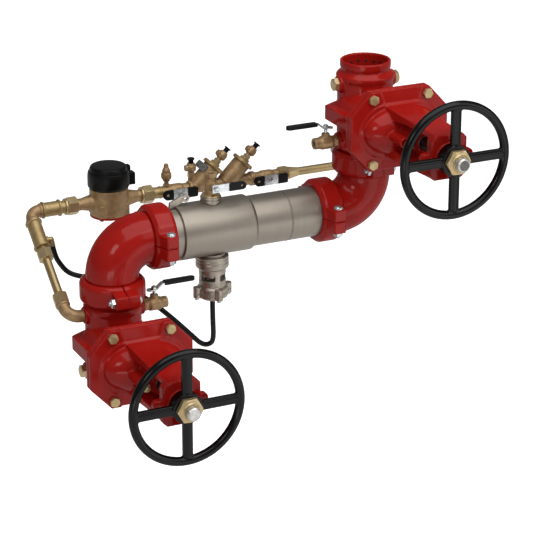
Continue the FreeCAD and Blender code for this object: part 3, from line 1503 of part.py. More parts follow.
# Sensing hose and its two fittings
nipple_end = relief_place + DOWN * (cover_depth + hose_nipple_length)
low_fitting = chamfered_hexagon(2 * hose_nipple_radius, relief_place + DOWN * cover_depth, nipple_end, 1)
elbow_corner = boss_end + RIGHT * hose_elbow_radius
low_run = [V(0, 0, -39.2), V(2.5, 0, -97.2), V(-7, 8, -110.2), V(-20.5, 19.5, -110.2), V(-38, 31, -91.2),
           V(-71, 56, -55.2), V(-121, 88, -7.2)]
high_run = [V(145, -50.5, -117.9), V(90, -38.5, -94.9), V(54, -26.5, -87.9),
            V(31, -15.5, -78.9), V(16, -7.5, -57.9),
            V(5.5, -8.5, -37.6)]
last_bend = elbow_corner + high_run[-1]
hose_way = (last_bend - elbow_corner).normalize()
hose_end = elbow_corner + hose_way * hose_elbow_drop
high_fitting = joined(rod(hose_elbow_radius, boss_end, elbow_corner),
                      Part.makeSphere(hose_elbow_radius, elbow_corner),
                      rod(hose_elbow_radius, elbow_corner, hose_end))
save("hose_fittings", low_fitting, high_fitting)
route = [nipple_end] + [nipple_end + step for step in low_run]
route += [elbow_corner + step for step in high_run] + [hose_end]
bends = []
for before, corner, after in zip(route, route[1:], route[2:]):
    turn = (corner - before).getAngle(after - corner)
    shorter = min((corner - before).Length, (after - corner).Length)
    bends.append(0.45 * shorter / math.tan(turn / 2))
hose, hose_length = bent_pipe(hose_radius, route, bends)
save("sensing_hose", hose)
print("hose bend radii, mm:", [round(bend) for bend in bends])
print("hose length %.0f mm, volume %.0f, section times length %.0f mm3"
      % (hose_length, hose.Volume, math.pi * hose_radius ** 2 * hose_length))
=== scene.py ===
# %% [markdown]
# # A reduced pressure detector assembly
# A backflow preventer for a fire main: two gate valves with handwheels, red grooved
# elbows and couplings, a stainless check housing, and a small metered bypass of bronze
# and brass behind it.  The solid model is the frame: this notebook loads it and builds
# the visible skin of every piece round it.  The frame is in metres, X runs along the
# housing, Y to the back and Z up, and the origin is the middle of the inlet pipe end.
# Shapes are drawn in millimetres and scaled once, when a piece is made.

# %% Load the frame
import json
import math

import bmesh
import bpy
from mathutils import Matrix, Vector


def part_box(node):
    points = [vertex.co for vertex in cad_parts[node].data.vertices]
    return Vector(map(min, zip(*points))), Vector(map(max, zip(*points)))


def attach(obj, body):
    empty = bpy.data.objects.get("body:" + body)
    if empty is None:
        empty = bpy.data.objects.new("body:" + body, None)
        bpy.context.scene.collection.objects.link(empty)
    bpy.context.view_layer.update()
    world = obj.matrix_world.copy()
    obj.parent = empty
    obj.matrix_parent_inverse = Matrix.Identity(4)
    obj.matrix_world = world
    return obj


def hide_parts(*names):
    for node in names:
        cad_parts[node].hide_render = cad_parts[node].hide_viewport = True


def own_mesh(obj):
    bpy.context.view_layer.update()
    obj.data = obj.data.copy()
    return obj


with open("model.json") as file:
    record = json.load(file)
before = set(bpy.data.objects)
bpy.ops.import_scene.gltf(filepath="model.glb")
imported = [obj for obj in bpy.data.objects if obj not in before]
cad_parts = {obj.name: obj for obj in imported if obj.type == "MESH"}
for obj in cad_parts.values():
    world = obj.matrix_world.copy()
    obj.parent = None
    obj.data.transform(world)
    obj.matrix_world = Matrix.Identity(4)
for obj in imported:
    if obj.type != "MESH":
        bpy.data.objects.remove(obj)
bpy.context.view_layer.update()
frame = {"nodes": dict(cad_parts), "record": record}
nodes = frame["nodes"]

# %% [markdown]
# The camera stands to the left of the valves and a little above them, far away with a
# long lens, which is why the two handwheels look nearly the same size.  A Track To constraint
# could aim it; its three axes written as a rotation leave no doubt about its roll.

# %% Camera
azimuth = math.radians(-25.29)
elevation = math.radians(21.09)
target = Vector((0.37452, 0.0, 0.22465))
distance = 5.11591
picture_width = 533
focal_pixels = 2257.29
sideways = Vector((math.cos(azimuth), math.sin(azimuth), 0))
to_viewer = Vector((math.sin(azimuth) * math.cos(elevation),
                    -math.cos(azimuth) * math.cos(elevation), math.sin(elevation)))
upward = to_viewer.cross(sideways)
lens = bpy.data.cameras.new("camera")
lens.sensor_width = 36
lens.lens = focal_pixels * lens.sensor_width / picture_width
lens.clip_end = 50
camera = bpy.data.objects.new("camera", lens)
bpy.context.scene.collection.objects.link(camera)
aimed = Matrix((sideways, upward, to_viewer)).transposed().to_4x4()
camera.matrix_world = Matrix.Translation(target + to_viewer * distance) @ aimed
bpy.context.scene.camera = camera
print("focal length, mm:", round(lens.lens, 1))

# %% [markdown]
# Colours are written as the hex values that one reads off a screen, and one function
# turns them to the linear numbers that the shader works with.  One more adds a node with
# its settings and its links.

# %% Colour and node tools
def colour(code):
    """Linear colour from an sRGB hex code."""
    values = [int(code[i:i + 2], 16) / 255 for i in (1, 3, 5)]
    return [v / 12.92 if v <= 0.04045 else ((v + 0.055) / 1.055) ** 2.4 for v in values] + [1.0]


def add(tree, kind, links=None, **settings):
    """A node with its settings; links maps an input to a value or to another node's output."""
    node = tree.nodes.new(kind)
    for name, value in settings.items():
        setattr(node, name, value)
    for name, value in (links or {}).items():
        if isinstance(value, bpy.types.NodeSocket):
            tree.links.new(value, node.inputs[name])
        else:
            node.inputs[name].default_value = value
    return node


print("mid grey as a linear number:", round(colour("#808080")[0], 3))

# %% [markdown]
# Nearly every finish here is one recipe with other numbers: blotches of two close colours,
# a gloss that varies with them, and a fine grain that raises the surface.  The sizes are
# real ones in millimetres.  Blotches on a casting are as wide as a thumb, and a grain that
# is finer than the picture can show is drawn about a pixel wide, which is two millimetres.

# %% Finish recipe
# Nearly all values of a noise lie between these two.
NOISE_LOW, NOISE_HIGH = 0.3, 0.7
BUMP_STRENGTH = 0.6


def surface(name, dark, light, blotch, grain, height, gloss, **sockets):
    """A material of two close colours; blotch, grain and height in mm, gloss is a roughness range."""
    material = bpy.data.materials.new(name)
    material.use_nodes = True
    tree = material.node_tree
    shader = tree.nodes["Principled BSDF"]
    for socket, value in sockets.items():
        shader.inputs[socket.replace("_", " ")].default_value = value
    place = add(tree, "ShaderNodeTexCoord").outputs["Object"]
    wide = add(tree, "ShaderNodeTexNoise", {"Vector": place, "Scale": 1000 / blotch, "Detail": 3.0})
    band = add(tree, "ShaderNodeValToRGB", {"Fac": wide.outputs["Fac"]})
    for element, position, code in zip(band.color_ramp.elements, (NOISE_LOW, NOISE_HIGH), (dark, light)):
        element.position = position
        element.color = colour(code)
    tree.links.new(band.outputs["Color"], shader.inputs["Base Color"])
    fine = add(tree, "ShaderNodeTexNoise", {"Vector": place, "Scale": 1000 / grain, "Detail": 2.0})
    rough = add(tree, "ShaderNodeMapRange", {"Value": fine.outputs["Fac"], "From Min": NOISE_LOW,
                                             "From Max": NOISE_HIGH, "To Min": gloss[0], "To Max": gloss[1]})
    tree.links.new(rough.outputs["Result"], shader.inputs["Roughness"])
    bump = add(tree, "ShaderNodeBump", {"Height": fine.outputs["Fac"], "Distance": height / 1000,
                                        "Strength": BUMP_STRENGTH})
    tree.links.new(bump.outputs["Normal"], shader.inputs["Normal"])
    return material


print("noise values used:", NOISE_LOW, "to", NOISE_HIGH)

# %% [markdown]
# Iron castings are painted.  Enamel is a colour under a clear skin, so the colour itself is
# matt and a coat layer over it makes the highlights: a plain glossy shader would grey the red.

# %% Paint on iron
# A thick enamel over grey iron: deep red, with small soft highlights and a light line along each edge.
red_enamel = surface("red_enamel_on_iron", "#9a1611", "#a61b15", 60, 7, 0.03, (0.5, 0.6),
                     IOR=1.5, Specular_IOR_Level=0.0, Coat_Weight=0.38, Coat_Roughness=0.14)
# The handwheels are dipped in black enamel: deep black, with a thin grey line where the rim turns.
black_enamel = surface("black_enamel_on_iron", "#040404", "#070707", 30, 3, 0.04, (0.36, 0.44),
                       IOR=1.5, Specular_IOR_Level=0.0, Coat_Weight=0.5, Coat_Roughness=0.2)
print("finishes so far:", len(bpy.data.materials))

# %% [markdown]
# The bypass is bronze and brass.  The same yellow metal looks different by how it was made:
# cast in sand, cast clean, turned from bar or drawn through a die.  Each gets its own gloss.

# %% Bronze and brass
# Sand-cast bronze has a dull brown skin of oxide, so it is only partly metallic, and grainy.
cast_bronze = surface("sand_cast_bronze", "#937756", "#b29369", 14, 2.6, 0.4, (0.38, 0.52),
                      Metallic=0.45, Specular_IOR_Level=0.4)
# The sleeves and necks screwed into the castings are a clean yellow brass casting: softer and brighter.
yellow_brass = surface("yellow_brass_casting", "#9c8459", "#b0986b", 12, 2.6, 0.1, (0.38, 0.48),
                       Metallic=0.6)
# Fittings turned from brass bar are smoother and paler: they catch clear bright lines.
turned_brass = surface("turned_brass", "#b79f74", "#c6b086", 20, 9, 0.002, (0.29, 0.34), Metallic=0.7)
# A drawn tube is even all over: one long soft highlight runs down it.
drawn_brass = surface("drawn_brass_tube", "#a28b62", "#ab966d", 30, 6, 0.002, (0.32, 0.38), Metallic=0.75)
print("finishes so far:", len(bpy.data.materials))

# %% [markdown]
# Steel shows by its last treatment: plated, turned, blasted or welded, with a near-black thread
# and a dull grey that is also used as painted shade.  The roughness says how far a highlight spreads.

# %% Zinc and steel
# Yellow zinc plate on the bonnet bolts: a dull gold, a little greener than the brass beside it.
yellow_zinc = surface("yellow_zinc_plate", "#b6a272", "#c4b083", 8, 3, 0.01, (0.36, 0.44), Metallic=0.6)
# Bright zinc plate on coupling bolts and levers: cold and light, with small sparkling edges.
bright_zinc = surface("bright_zinc_plate", "#b4b8bb", "#d4d7d9", 8, 4, 0.01, (0.20, 0.30), Metallic=0.85)
# Turned stainless on the stems: nearly white, with a soft sheen from the tool's fine marks.
turned_steel = surface("turned_stainless", "#b8b5b0", "#dad8d4", 8, 2.2, 0.03, (0.3, 0.4), Metallic=0.8)
# Investment-cast stainless is blasted with beads: an even, warm grey sheen.
cast_stainless = surface("cast_stainless", "#968d81", "#b0a699", 14, 2.4, 0.12, (0.32, 0.42), Metallic=0.85)
# The stem's thread is drawn nearly black.
black_thread = surface("near_black_steel_thread", "#0b0a09", "#141210", 6, 3, 0.02, (0.36, 0.48),
                       Specular_IOR_Level=0.3)
# Dull grey blotched steel.  On the upper stem's end it is painted shade: a dark disc inside
# the bright chamfer that stands for the dim reflection of that end.  The hang tag is this grey too.
dull_steel_and_shade = surface("dull_grey_steel_and_painted_shade", "#4d4b48", "#7a7874", 3, 2.2, 0.05, (0.35, 0.5), Metallic=0.7)
# A weld leaves a straw and violet tint in stainless steel on its bead.
weld_tint = surface("heat_tinted_weld", "#746a65", "#8a807a", 5, 2.2, 0.15, (0.36, 0.46), Metallic=0.7)
print("finishes so far:", len(bpy.data.materials))

# %% [markdown]
# The black parts differ only in their sheen: hose, moulded plastic, dipped vinyl and seals.
# Pure black would lose their shape, so each keeps a little reflection.

# %% Rubber and plastic
# Extruded hose rubber: black with a broad dim line along its upper side.
hose_rubber = surface("extruded_hose_rubber", "#060606", "#0a0a0a", 20, 4, 0.01, (0.40, 0.50),
                      IOR=1.5, Specular_IOR_Level=0.25)
# Moulded plastic on the meter's register: a smooth satin black whose rim shows as a grey line.
black_plastic = surface("moulded_black_plastic", "#060606", "#0a0a0a", 20, 2, 0.02, (0.34, 0.42),
                        IOR=1.48, Specular_IOR_Level=0.2)
# Vinyl dipped over a lever: the deepest black here, thick and soft at its edges.
vinyl_grip = surface("dipped_vinyl_grip", "#030303", "#060606", 20, 3, 0.02, (0.34, 0.44),
                     IOR=1.5, Specular_IOR_Level=0.2)
# Moulded seal rubber: dead matt, so that it reads as a shadow between bright parts.  The same
# black is painted shade in the bore holes and at the foot of the yoke nut's sleeve.
seal_rubber = surface("seal_rubber_and_painted_shade", "#0a0a0a", "#121212", 10, 3, 0.05, (0.6, 0.75), IOR=1.5)
print("finishes:", len(bpy.data.materials))

# %% [markdown]
# The housing is formed from stainless sheet and brushed round its axis, which draws fine
# rings.  Metal brushed in one direction spreads its highlights across the brushing, so this
# finish has its own pattern: a noise squeezed along X, with a tone that drifts slowly.  An
# anisotropic shader could do it too, but it needs a tangent, which merged meshes lack.

# %% Brushed stainless steel
# Brushed sheet: a warm grey with soft bands along the housing and no sharp highlight.
brushed_stainless = bpy.data.materials.new("brushed_stainless_sheet")
brushed_stainless.use_nodes = True
tree = brushed_stainless.node_tree
shader = tree.nodes["Principled BSDF"]
shader.inputs["Metallic"].default_value = 0.9
place = add(tree, "ShaderNodeTexCoord").outputs["Object"]
ring_count, drift = 900, 12   # changes of tone in a metre, along the axis and across it
along = add(tree, "ShaderNodeMapping", {"Vector": place, "Scale": (ring_count, drift, drift)})
rings = add(tree, "ShaderNodeTexNoise", {"Vector": along.outputs["Vector"], "Scale": 1.0, "Detail": 3.0})
band = add(tree, "ShaderNodeValToRGB", {"Fac": rings.outputs["Fac"]})
for element, position, code in zip(band.color_ramp.elements, (NOISE_LOW, NOISE_HIGH), ("#928a7f", "#989085")):
    element.position = position
    element.color = colour(code)
tree.links.new(band.outputs["Color"], shader.inputs["Base Color"])
rough = add(tree, "ShaderNodeMapRange", {"Value": rings.outputs["Fac"], "To Min": 0.40, "To Max": 0.44})
tree.links.new(rough.outputs["Result"], shader.inputs["Roughness"])
print("rings in a mm of the housing:", ring_count * 0.001)

# %% [markdown]
# Every solid node gets the finish of its material slot.  Nodes that no new piece stands for
# keep this dress: the inner ones, and those whose solid is already the true shape.

# %% Dress the solid nodes
dressed = {
    "red_enamel": red_enamel, "stainless": brushed_stainless, "cast_stainless": cast_stainless,
    "bronze": cast_bronze, "brass": drawn_brass, "black_enamel": black_enamel, "yellow_zinc": yellow_zinc,
    "zinc": bright_zinc, "stem_steel": turned_steel, "wedge_rubber": seal_rubber, "seal_rubber": seal_rubber,
    "black_plastic": black_plastic, "register_plastic": black_plastic, "chrome_ball": bright_zinc,
    "lever_steel": bright_zinc, "spring_steel": turned_steel, "hose_rubber": hose_rubber,
}
slot_of = {row["node"]: row["material_slot"] for row in frame["record"]["subparts"]}
for name, node in nodes.items():
    node.data.materials.clear()
    node.data.materials.append(dressed[slot_of[name]])
# The diaphragm's rim is trimmed flush between two flanges, and only its metal facing shows.
nodes["relief_diaphragm"].data.materials[0] = cast_stainless
print("nodes dressed:", len(nodes))

# %% [markdown]
# Shapes first, in millimetres.  A turned part is an outline that `spin` sweeps round; a bar
# is a cone with equal ends; a plate is a polygon that is pushed through its thickness.  Each
# helper builds its shape upright about the origin, and `put` lays it along an axis.

# %% Directions and placing
TO_METRES = 0.001
UP = Vector((0, 0, 1))
FRONT = Vector((0, -1, 0))
BACK = Vector((0, 1, 0))
RIGHT = Vector((1, 0, 0))
DOWN = Vector((0, 0, -1))


def put(bm, part, base, axis, roll=0):
    """Lay an upright part along an axis from a base point and add it to a shape."""
    bmesh.ops.recalc_face_normals(part, faces=part.faces)
    turned = UP.rotation_difference(Vector(axis)).to_matrix().to_4x4()
    rolled = Matrix.Rotation(math.radians(roll), 4, "Z")
    bmesh.ops.transform(part, matrix=Matrix.Translation(Vector(base)) @ turned @ rolled, verts=part.verts)
    store = bpy.data.meshes.new("store")
    part.to_mesh(store)
    part.free()
    bm.from_mesh(store)
    bpy.data.meshes.remove(store)


print("millimetres in a metre:", round(1 / TO_METRES))

# %% [markdown]
# Most of a pipe fitting is turned.  Screw modifiers could sweep the outlines; the operator does
# the same at once and leaves a plain mesh that can be joined to others.

# %% Turned parts and bars
def lathe(bm, outline, base, axis=UP, steps=64):
    """A turned part: the outline is (radius, distance along the axis)."""
    part = bmesh.new()
    points = [part.verts.new((radius, 0, along)) for radius, along in outline]
    edges = [part.edges.new(pair) for pair in zip(points, points[1:])]
    if outline[0][0] > 0:
        edges.append(part.edges.new((points[-1], points[0])))
    bmesh.ops.spin(part, geom=points + edges, cent=(0, 0, 0), axis=(0, 0, 1), dvec=(0, 0, 0),
                   angle=2 * math.pi, steps=steps, use_merge=True)
    bmesh.ops.remove_doubles(part, verts=part.verts, dist=1e-4)
    put(bm, part, base, axis)


def bar(bm, radius, start, end, sides=48, tip_radius=None, roll=0):
    """A round bar between two points, or with few sides a hexagon or a square one."""
    span = Vector(end) - Vector(start)
    part = bmesh.new()
    bmesh.ops.create_cone(part, cap_ends=True, segments=sides, radius1=radius,
                          radius2=radius if tip_radius is None else tip_radius, depth=span.length)
    bmesh.ops.translate(part, verts=part.verts, vec=(0, 0, span.length / 2))
    put(bm, part, start, span, roll)


test = bmesh.new()
bar(test, 5, (0, 0, 0), (0, 0, 10))
print("volume of a bar 10 mm wide and long, mm3:", round(test.calc_volume(), 1))
test.free()

# %% [markdown]
# A nut or a bolt head is a hexagon bar whose corners are turned off on a lathe.  Two slanting
# cuts at every corner come near enough to the round chamfer, and each cut is closed again.

# %% Hexagons
CORNER_SPREAD = 12    # degrees between a corner and each of its two cuts
CHAMFER_SLOPE = 1.7   # how far a cut leans towards the end of the bar


def hexagon(bm, flats, start, end, chamfer=1.2, roll=30, both=False):
    """A hexagon bar whose far corners are turned off, as on a nut or a bolt head."""
    span = Vector(end) - Vector(start)
    reach = flats / math.sqrt(3)
    part = bmesh.new()
    bmesh.ops.create_cone(part, cap_ends=True, segments=6, radius1=reach, radius2=reach, depth=span.length)
    bmesh.ops.translate(part, verts=part.verts, vec=(0, 0, span.length / 2))
    ends = [(UP, span.length - chamfer), (DOWN, chamfer)]
    for way, level in ends if both else ends[:1]:
        for cut in range(12):
            angle = math.radians(60 * (cut // 2) + (CORNER_SPREAD if cut % 2 else -CORNER_SPREAD))
            corner = Vector((-math.sin(angle), math.cos(angle), 0))
            spot = corner * reach + UP * level
            bmesh.ops.bisect_plane(part, geom=part.verts[:] + part.edges[:] + part.faces[:], plane_co=spot,
                                   plane_no=(corner + way * CHAMFER_SLOPE).normalized(), clear_outer=True)
            bmesh.ops.holes_fill(part, edges=[edge for edge in part.edges if edge.is_boundary])
    put(bm, part, start, span, roll)


print("a nut of 20 mm flats is this wide at its corners, mm:", round(40 / math.sqrt(3), 1))

# %% [markdown]
# Straps, levers and lugs are flat stock: a box, or a polygon pushed through its thickness.

# %% Boxes and plates
def box(bm, low, high):
    """A box between two corners."""
    low, high = Vector(low), Vector(high)
    part = bmesh.new()
    bmesh.ops.create_cube(part, size=1)
    bmesh.ops.scale(part, verts=part.verts, vec=high - low)
    put(bm, part, (low + high) / 2, UP)


def plate(bm, corners, push):
    """A polygon pushed through its thickness."""
    part = bmesh.new()
    face = part.faces.new([part.verts.new(corner) for corner in corners])
    grown = bmesh.ops.extrude_face_region(part, geom=[face])
    bmesh.ops.translate(part, verts=[v for v in grown["geom"] if isinstance(v, bmesh.types.BMVert)],
                        vec=Vector(push))
    put(bm, part, (0, 0, 0), UP)


test = bmesh.new()
box(test, (0, 0, 0), (10, 10, 3))
print("volume of a plate 10 by 10 by 3 mm, mm3:", round(test.calc_volume()))
test.free()

# %% [markdown]
# A hole through a hexagon can't be turned, so it is drilled: a Boolean modifier on two
# objects that exist only for the cut.

# %% Drilling
def bored(bm, radius, start, end):
    """The shape with a round hole through it from start to end."""
    tool = bmesh.new()
    bar(tool, radius, start, end, sides=64)
    items = []
    for shape in (bm, tool):
        mesh = bpy.data.meshes.new("store")
        shape.to_mesh(mesh)
        shape.free()
        items.append(bpy.data.objects.new("store", mesh))
        bpy.context.scene.collection.objects.link(items[-1])
    drill = items[0].modifiers.new("drill", "BOOLEAN")
    drill.operation = "DIFFERENCE"
    drill.object = items[1]
    drill.solver = "EXACT"
    drilled = items[0].evaluated_get(bpy.context.evaluated_depsgraph_get())
    result = bmesh.new()
    result.from_mesh(drilled.to_mesh())
    for item in items:
        bpy.data.meshes.remove(item.data)
    return result


test = bmesh.new()
box(test, (-5, -5, 0), (5, 5, 10))
test = bored(test, 3, (0, 0, -1), (0, 0, 11))
print("volume of a drilled 10 mm cube, mm3:", round(test.calc_volume()))
test.free()

# %% [markdown]
# Where the solid model has the true form already, a piece starts from a copy of it.  The file
# splits its vertices at sharp edges, so the copy is merged first.  A node of several solids is
# taken apart into its lumps, in the order of its vertices.

# %% Copies of solids
def solid_of(node):
    """A merged copy of a solid node's mesh, in millimetres."""
    bm = bmesh.new()
    bm.from_mesh(nodes[node].data)
    bmesh.ops.scale(bm, verts=bm.verts, vec=(1000, 1000, 1000))
    bmesh.ops.remove_doubles(bm, verts=bm.verts, dist=0.001)
    return bm


def lumps(node):
    """The separate solids of a node, each as a shape of its own."""
    whole = solid_of(node)
    whole.verts.index_update()
    waiting = dict.fromkeys(whole.verts)
    parts = []
    while waiting:
        group = [next(iter(waiting))]
        waiting.pop(group[0])
        for vert in group:
            for edge in vert.link_edges:
                other = edge.other_vert(vert)
                if other in waiting:
                    waiting.pop(other)
                    group.append(other)
        kept = {vert.index for vert in group}
        part = whole.copy()
        bmesh.ops.delete(part, geom=[vert for vert in part.verts if vert.index not in kept], context="VERTS")
        parts.append(part)
    whole.free()
    return parts


print("coupling halves:", len(lumps("coupling_halves")))

# %% [markdown]
# A finished piece is one mesh with its place in its vertices.  Castings are made the way a
# moulder thinks of them: lumps pushed together, then softened.  A voxel remesh melts the
# overlapping lumps into one skin, and a few rounds of smoothing roll every edge and fill every
# corner, as sand and paint do.  Machined parts keep their flat faces and get a small bevel.

# %% Piece maker
SHARP_EDGE = math.radians(32)


def piece(name, bm, finish, stands_for=(), body="pipework", cell=0.0, rounds=0, edge=0.0):
    """Turn a shape into a piece: cell is the remesh size and edge the bevel width, in mm."""
    bmesh.ops.scale(bm, verts=bm.verts, vec=(TO_METRES, TO_METRES, TO_METRES))
    mesh = bpy.data.meshes.new(name)
    bm.to_mesh(mesh)
    bm.free()
    mesh.materials.append(finish)
    mesh.shade_smooth()
    item = bpy.data.objects.new(name, mesh)
    bpy.context.scene.collection.objects.link(item)
    if cell:
        melt = item.modifiers.new("melt", "REMESH")
        melt.mode = "VOXEL"
        melt.voxel_size = cell * TO_METRES
        melt.use_smooth_shade = True
        soften = item.modifiers.new("soften", "SMOOTH")
        soften.factor = 0.5
        soften.iterations = rounds
    else:
        mesh.set_sharp_from_angle(angle=SHARP_EDGE)
    if edge:
        rolled = item.modifiers.new("edges", "BEVEL")
        rolled.width = edge * TO_METRES
        rolled.segments = 2
        rolled.limit_method = "ANGLE"
        rolled.angle_limit = SHARP_EDGE
        rolled.harden_normals = True
    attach(item, body)
    if stands_for:
        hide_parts(*stands_for)
    print("piece:", name)
    return item


print("sharp edges kept above, degrees:", round(math.degrees(SHARP_EDGE)))

# %% [markdown]
# The gate valves come first.  The body is a sand casting: a pipe neck with a grooved end at
# the top and bottom, a box across it that guides the wedge, and an octagon flange towards
# the front.  The solid already has these forms, so it is taken as it is, gets a round pad
# behind each bolt, and is melted and softened until its edges roll like painted iron.

# %% Gate valve bodies
inlet_z, outlet_x, outlet_z, axis_z = 116.5, 619.4, 565.9, 341.2
valves = {"inlet": Vector((0, 0, inlet_z)), "outlet": Vector((outlet_x, 0, outlet_z))}
bolt_x, bolt_z = 66.5, 74.0
bonnet_face, nut_face = 166.0, 140.0
pad_radius, pad_sunk = 14, 1.5
for side, middle in valves.items():
    bm = solid_of(side + "_valve_body")
    for x in (-bolt_x, bolt_x):
        for z in (-bolt_z, bolt_z):
            bar(bm, pad_radius, middle + Vector((x, -nut_face, z)),
                middle + Vector((x, pad_sunk - nut_face, z)))
    piece(side + "_body_casting", bm, red_enamel, [side + "_valve_body"], cell=2.1, rounds=3)

# %% [markdown]
# The bonnet carries the stem: flange, dome, stuffing box and a yoke of two arms in one
# casting.  It is melted on a finer grid than the body, since its ribs and rim are thinner.

# %% Bonnets
for side, middle in valves.items():
    piece(side + "_bonnet_casting", solid_of(side + "_valve_bonnet"), red_enamel,
          [side + "_valve_bonnet"], cell=1.8, rounds=4)

# %% [markdown]
# Elbows and coupling halves are the same painted iron.  Each half is melted by itself, so
# that the thin split between two halves stays open.

# %% Elbows and couplings
for name in ("inlet_elbow", "outlet_elbow"):
    piece(name + "_casting", solid_of(name), red_enamel, [name], cell=2.0, rounds=3)
for count, half in enumerate(lumps("coupling_halves")):
    piece("coupling_half_%d" % count, half, red_enamel, ["coupling_halves"], cell=1.5, rounds=9)
print("coupling halves:", count + 1)

# %% [markdown]
# The two upright couplings are drawn up until their pads nearly touch, and paint fills the
# rest of the gap: a thin bridge between the halves.  Four small boxes fill it.

# %% Painted gaps
first_ring, last_ring = 234.6, 447.8
gap_inner, gap_outer, gap_half_width, gap_half_height = 69, 95.5, 1.5, 13
gaps = bmesh.new()
for place in (Vector((0, 0, first_ring)), Vector((outlet_x, 0, last_ring))):
    for side in (-1, 1):
        low, high = sorted((gap_inner * side, gap_outer * side))
        box(gaps, place + Vector((-gap_half_width, low, -gap_half_height)),
            place + Vector((gap_half_width, high, gap_half_height)))
piece("painted_gaps", gaps, red_enamel, edge=0.5)
print("gaps filled, mm wide:", 2 * gap_half_width)

# %% [markdown]
# The row of small holes just inside the upper pipe end is drilled from within.  Each is drawn
# as a short dark plug of painted shade, the shade inside the hole, that stands a hair proud of
# the wall: cutting holes into a melted casting would ask for a far finer grid.

# %% Painted shade of the holes in the outlet bore
outlet_end, hole_depth, hole_count, hole_radius = 682.4, 19, 18, 2.9
holes = bmesh.new()
hole_ring = Vector((outlet_x, 0, outlet_end - hole_depth))
for step in range(hole_count):
    angle = 2 * math.pi * step / hole_count
    way = Vector((math.cos(angle), math.sin(angle), 0))
    bar(holes, hole_radius, hole_ring + way * 52.5, hole_ring + way * 49.9, sides=20)
piece("bore_hole_painted_shade", holes, seal_rubber)
print("holes:", hole_count)

# %% [markdown]
# The handwheel is a ductile casting with four spokes.  Where a spoke meets the rim or the
# hub the moulder leaves a small fillet; melting the joined lumps makes it.

# %% Handwheels
for side in valves:
    piece(side + "_wheel_casting", solid_of(side + "_handwheel"), black_enamel,
          [side + "_handwheel"], side + "_wheel", cell=1.7, rounds=3)

# %% [markdown]
# The yoke nut is turned from brass bar: a hexagon that clamps the wheel, with a raised ring
# round the hole where the tool ran out, and behind it a sleeve that turns in the yoke.  It
# needs a real hole, since the stem comes out through it when the valve opens.  A black ring
# at the sleeve's foot is painted shade: it darkens the part of the sleeve that lies in the yoke's shadow.

# %% Yoke nuts
nut_flats, nut_bore, sleeve_radius = 50.8, 15.5, 21.9
sleeve_foot, nut_back, nut_front = 350, 418, 429
for side, middle in valves.items():
    nut = bmesh.new()
    hexagon(nut, nut_flats, middle + FRONT * nut_back, middle + FRONT * nut_front, chamfer=2.4, roll=30)
    nut = bored(nut, nut_bore, middle + FRONT * (nut_back - 1), middle + FRONT * (nut_front + 1))
    lathe(nut, [(nut_bore, 0), (23.4, 0), (22.6, 1.0), (20.4, 1.4), (18.0, 3.4), (17.2, 5.6), (nut_bore, 6)],
          middle + FRONT * nut_front, FRONT)
    length = nut_back - sleeve_foot
    lathe(nut, [(nut_bore, 0), (sleeve_radius, 0), (sleeve_radius, length), (nut_bore, length)],
          middle + FRONT * sleeve_foot, FRONT)
    piece(side + "_nut_skin", nut, turned_brass, [side + "_yoke_nut"], side + "_wheel", edge=0.4)
    # A black ring of painted shade over the sleeve's foot, which lies in the yoke's shadow.
    sleeve_shade_ring = bmesh.new()
    lathe(sleeve_shade_ring, [(15.6, 0), (22.3, 0), (22.3, 11), (15.6, 11)], middle + FRONT * 349.5, FRONT)
    piece(side + "_nut_sleeve_shade", sleeve_shade_ring, seal_rubber, body=side + "_wheel", edge=0.4)
print("nut, mm across its corners:", round(2 * nut_flats / math.sqrt(3), 1))

# %% [markdown]
# The stem is a long screw.  Its thread runs between the gland and the yoke nut, and is drawn
# nearly black.  A true helix would be one long strip; turned rings stand for its flanks,
# since at this size nobody sees the slope.

# %% Stem threads
crest, root, under, pitch, ring_total = 15.32, 15.08, 14.8, 4, 17
for side, middle in valves.items():
    flanks = [(under, 0)]
    for ring in range(ring_total):
        flanks += [(crest, pitch * ring + 1), (root, pitch * ring + 3)]
    thread = bmesh.new()
    lathe(thread, flanks + [(under, pitch * ring_total + 1)], middle + FRONT * 279.5, FRONT)
    piece(side + "_stem_thread", thread, black_thread, body=side + "_gate")
print("thread, mm long:", pitch * ring_total + 1)

# %% [markdown]
# The upper stem's end is painted dark: a dull disc of painted shade inside the chamfered rim,
# which stands for the dim reflection that this end shows.  The disc stands a few hundredths of a
# millimetre in front of the solid stem.

# %% Painted shade on the upper stem's end
face = bmesh.new()
lathe(face, [(0, 0), (11.6, 0), (11.6, 0.5), (0, 0.5)], valves["outlet"] + FRONT * 449.53, FRONT)
piece("outlet_stem_painted_shade", face, dull_steel_and_shade, body="outlet_gate")

# %% [markdown]
# Bonnet bolts are hexagons with turned corners, and a nut sits on each behind the flange.
# Each is turned a little differently, as it stopped when it was tight.

# %% Bonnet bolts
bolt_flats, bolt_radius = 20, 5.8
turns = iter([8, 22, 41, 13, 52, 5, 33, 27])
bolts = bmesh.new()
for middle in valves.values():
    for x in (-bolt_x, bolt_x):
        for z in (-bolt_z, bolt_z):
            roll = next(turns)
            seat = middle + Vector((x, -bonnet_face, z))
            hexagon(bolts, bolt_flats, seat, seat + FRONT * 8, chamfer=0.8, roll=roll)
            behind = middle + Vector((x, -nut_face, z))
            hexagon(bolts, bolt_flats, behind, behind + BACK * 8, chamfer=1.5, roll=roll + 17)
            bar(bolts, bolt_radius, behind, behind + BACK * 12)
piece("bonnet_bolts_skin", bolts, yellow_zinc, ["bonnet_bolts"], edge=0.3)
print("bonnet bolts:", 4 * len(valves))

# %% [markdown]
# The ports that no cock uses are shut with brass plugs: hexagons with a flat front.

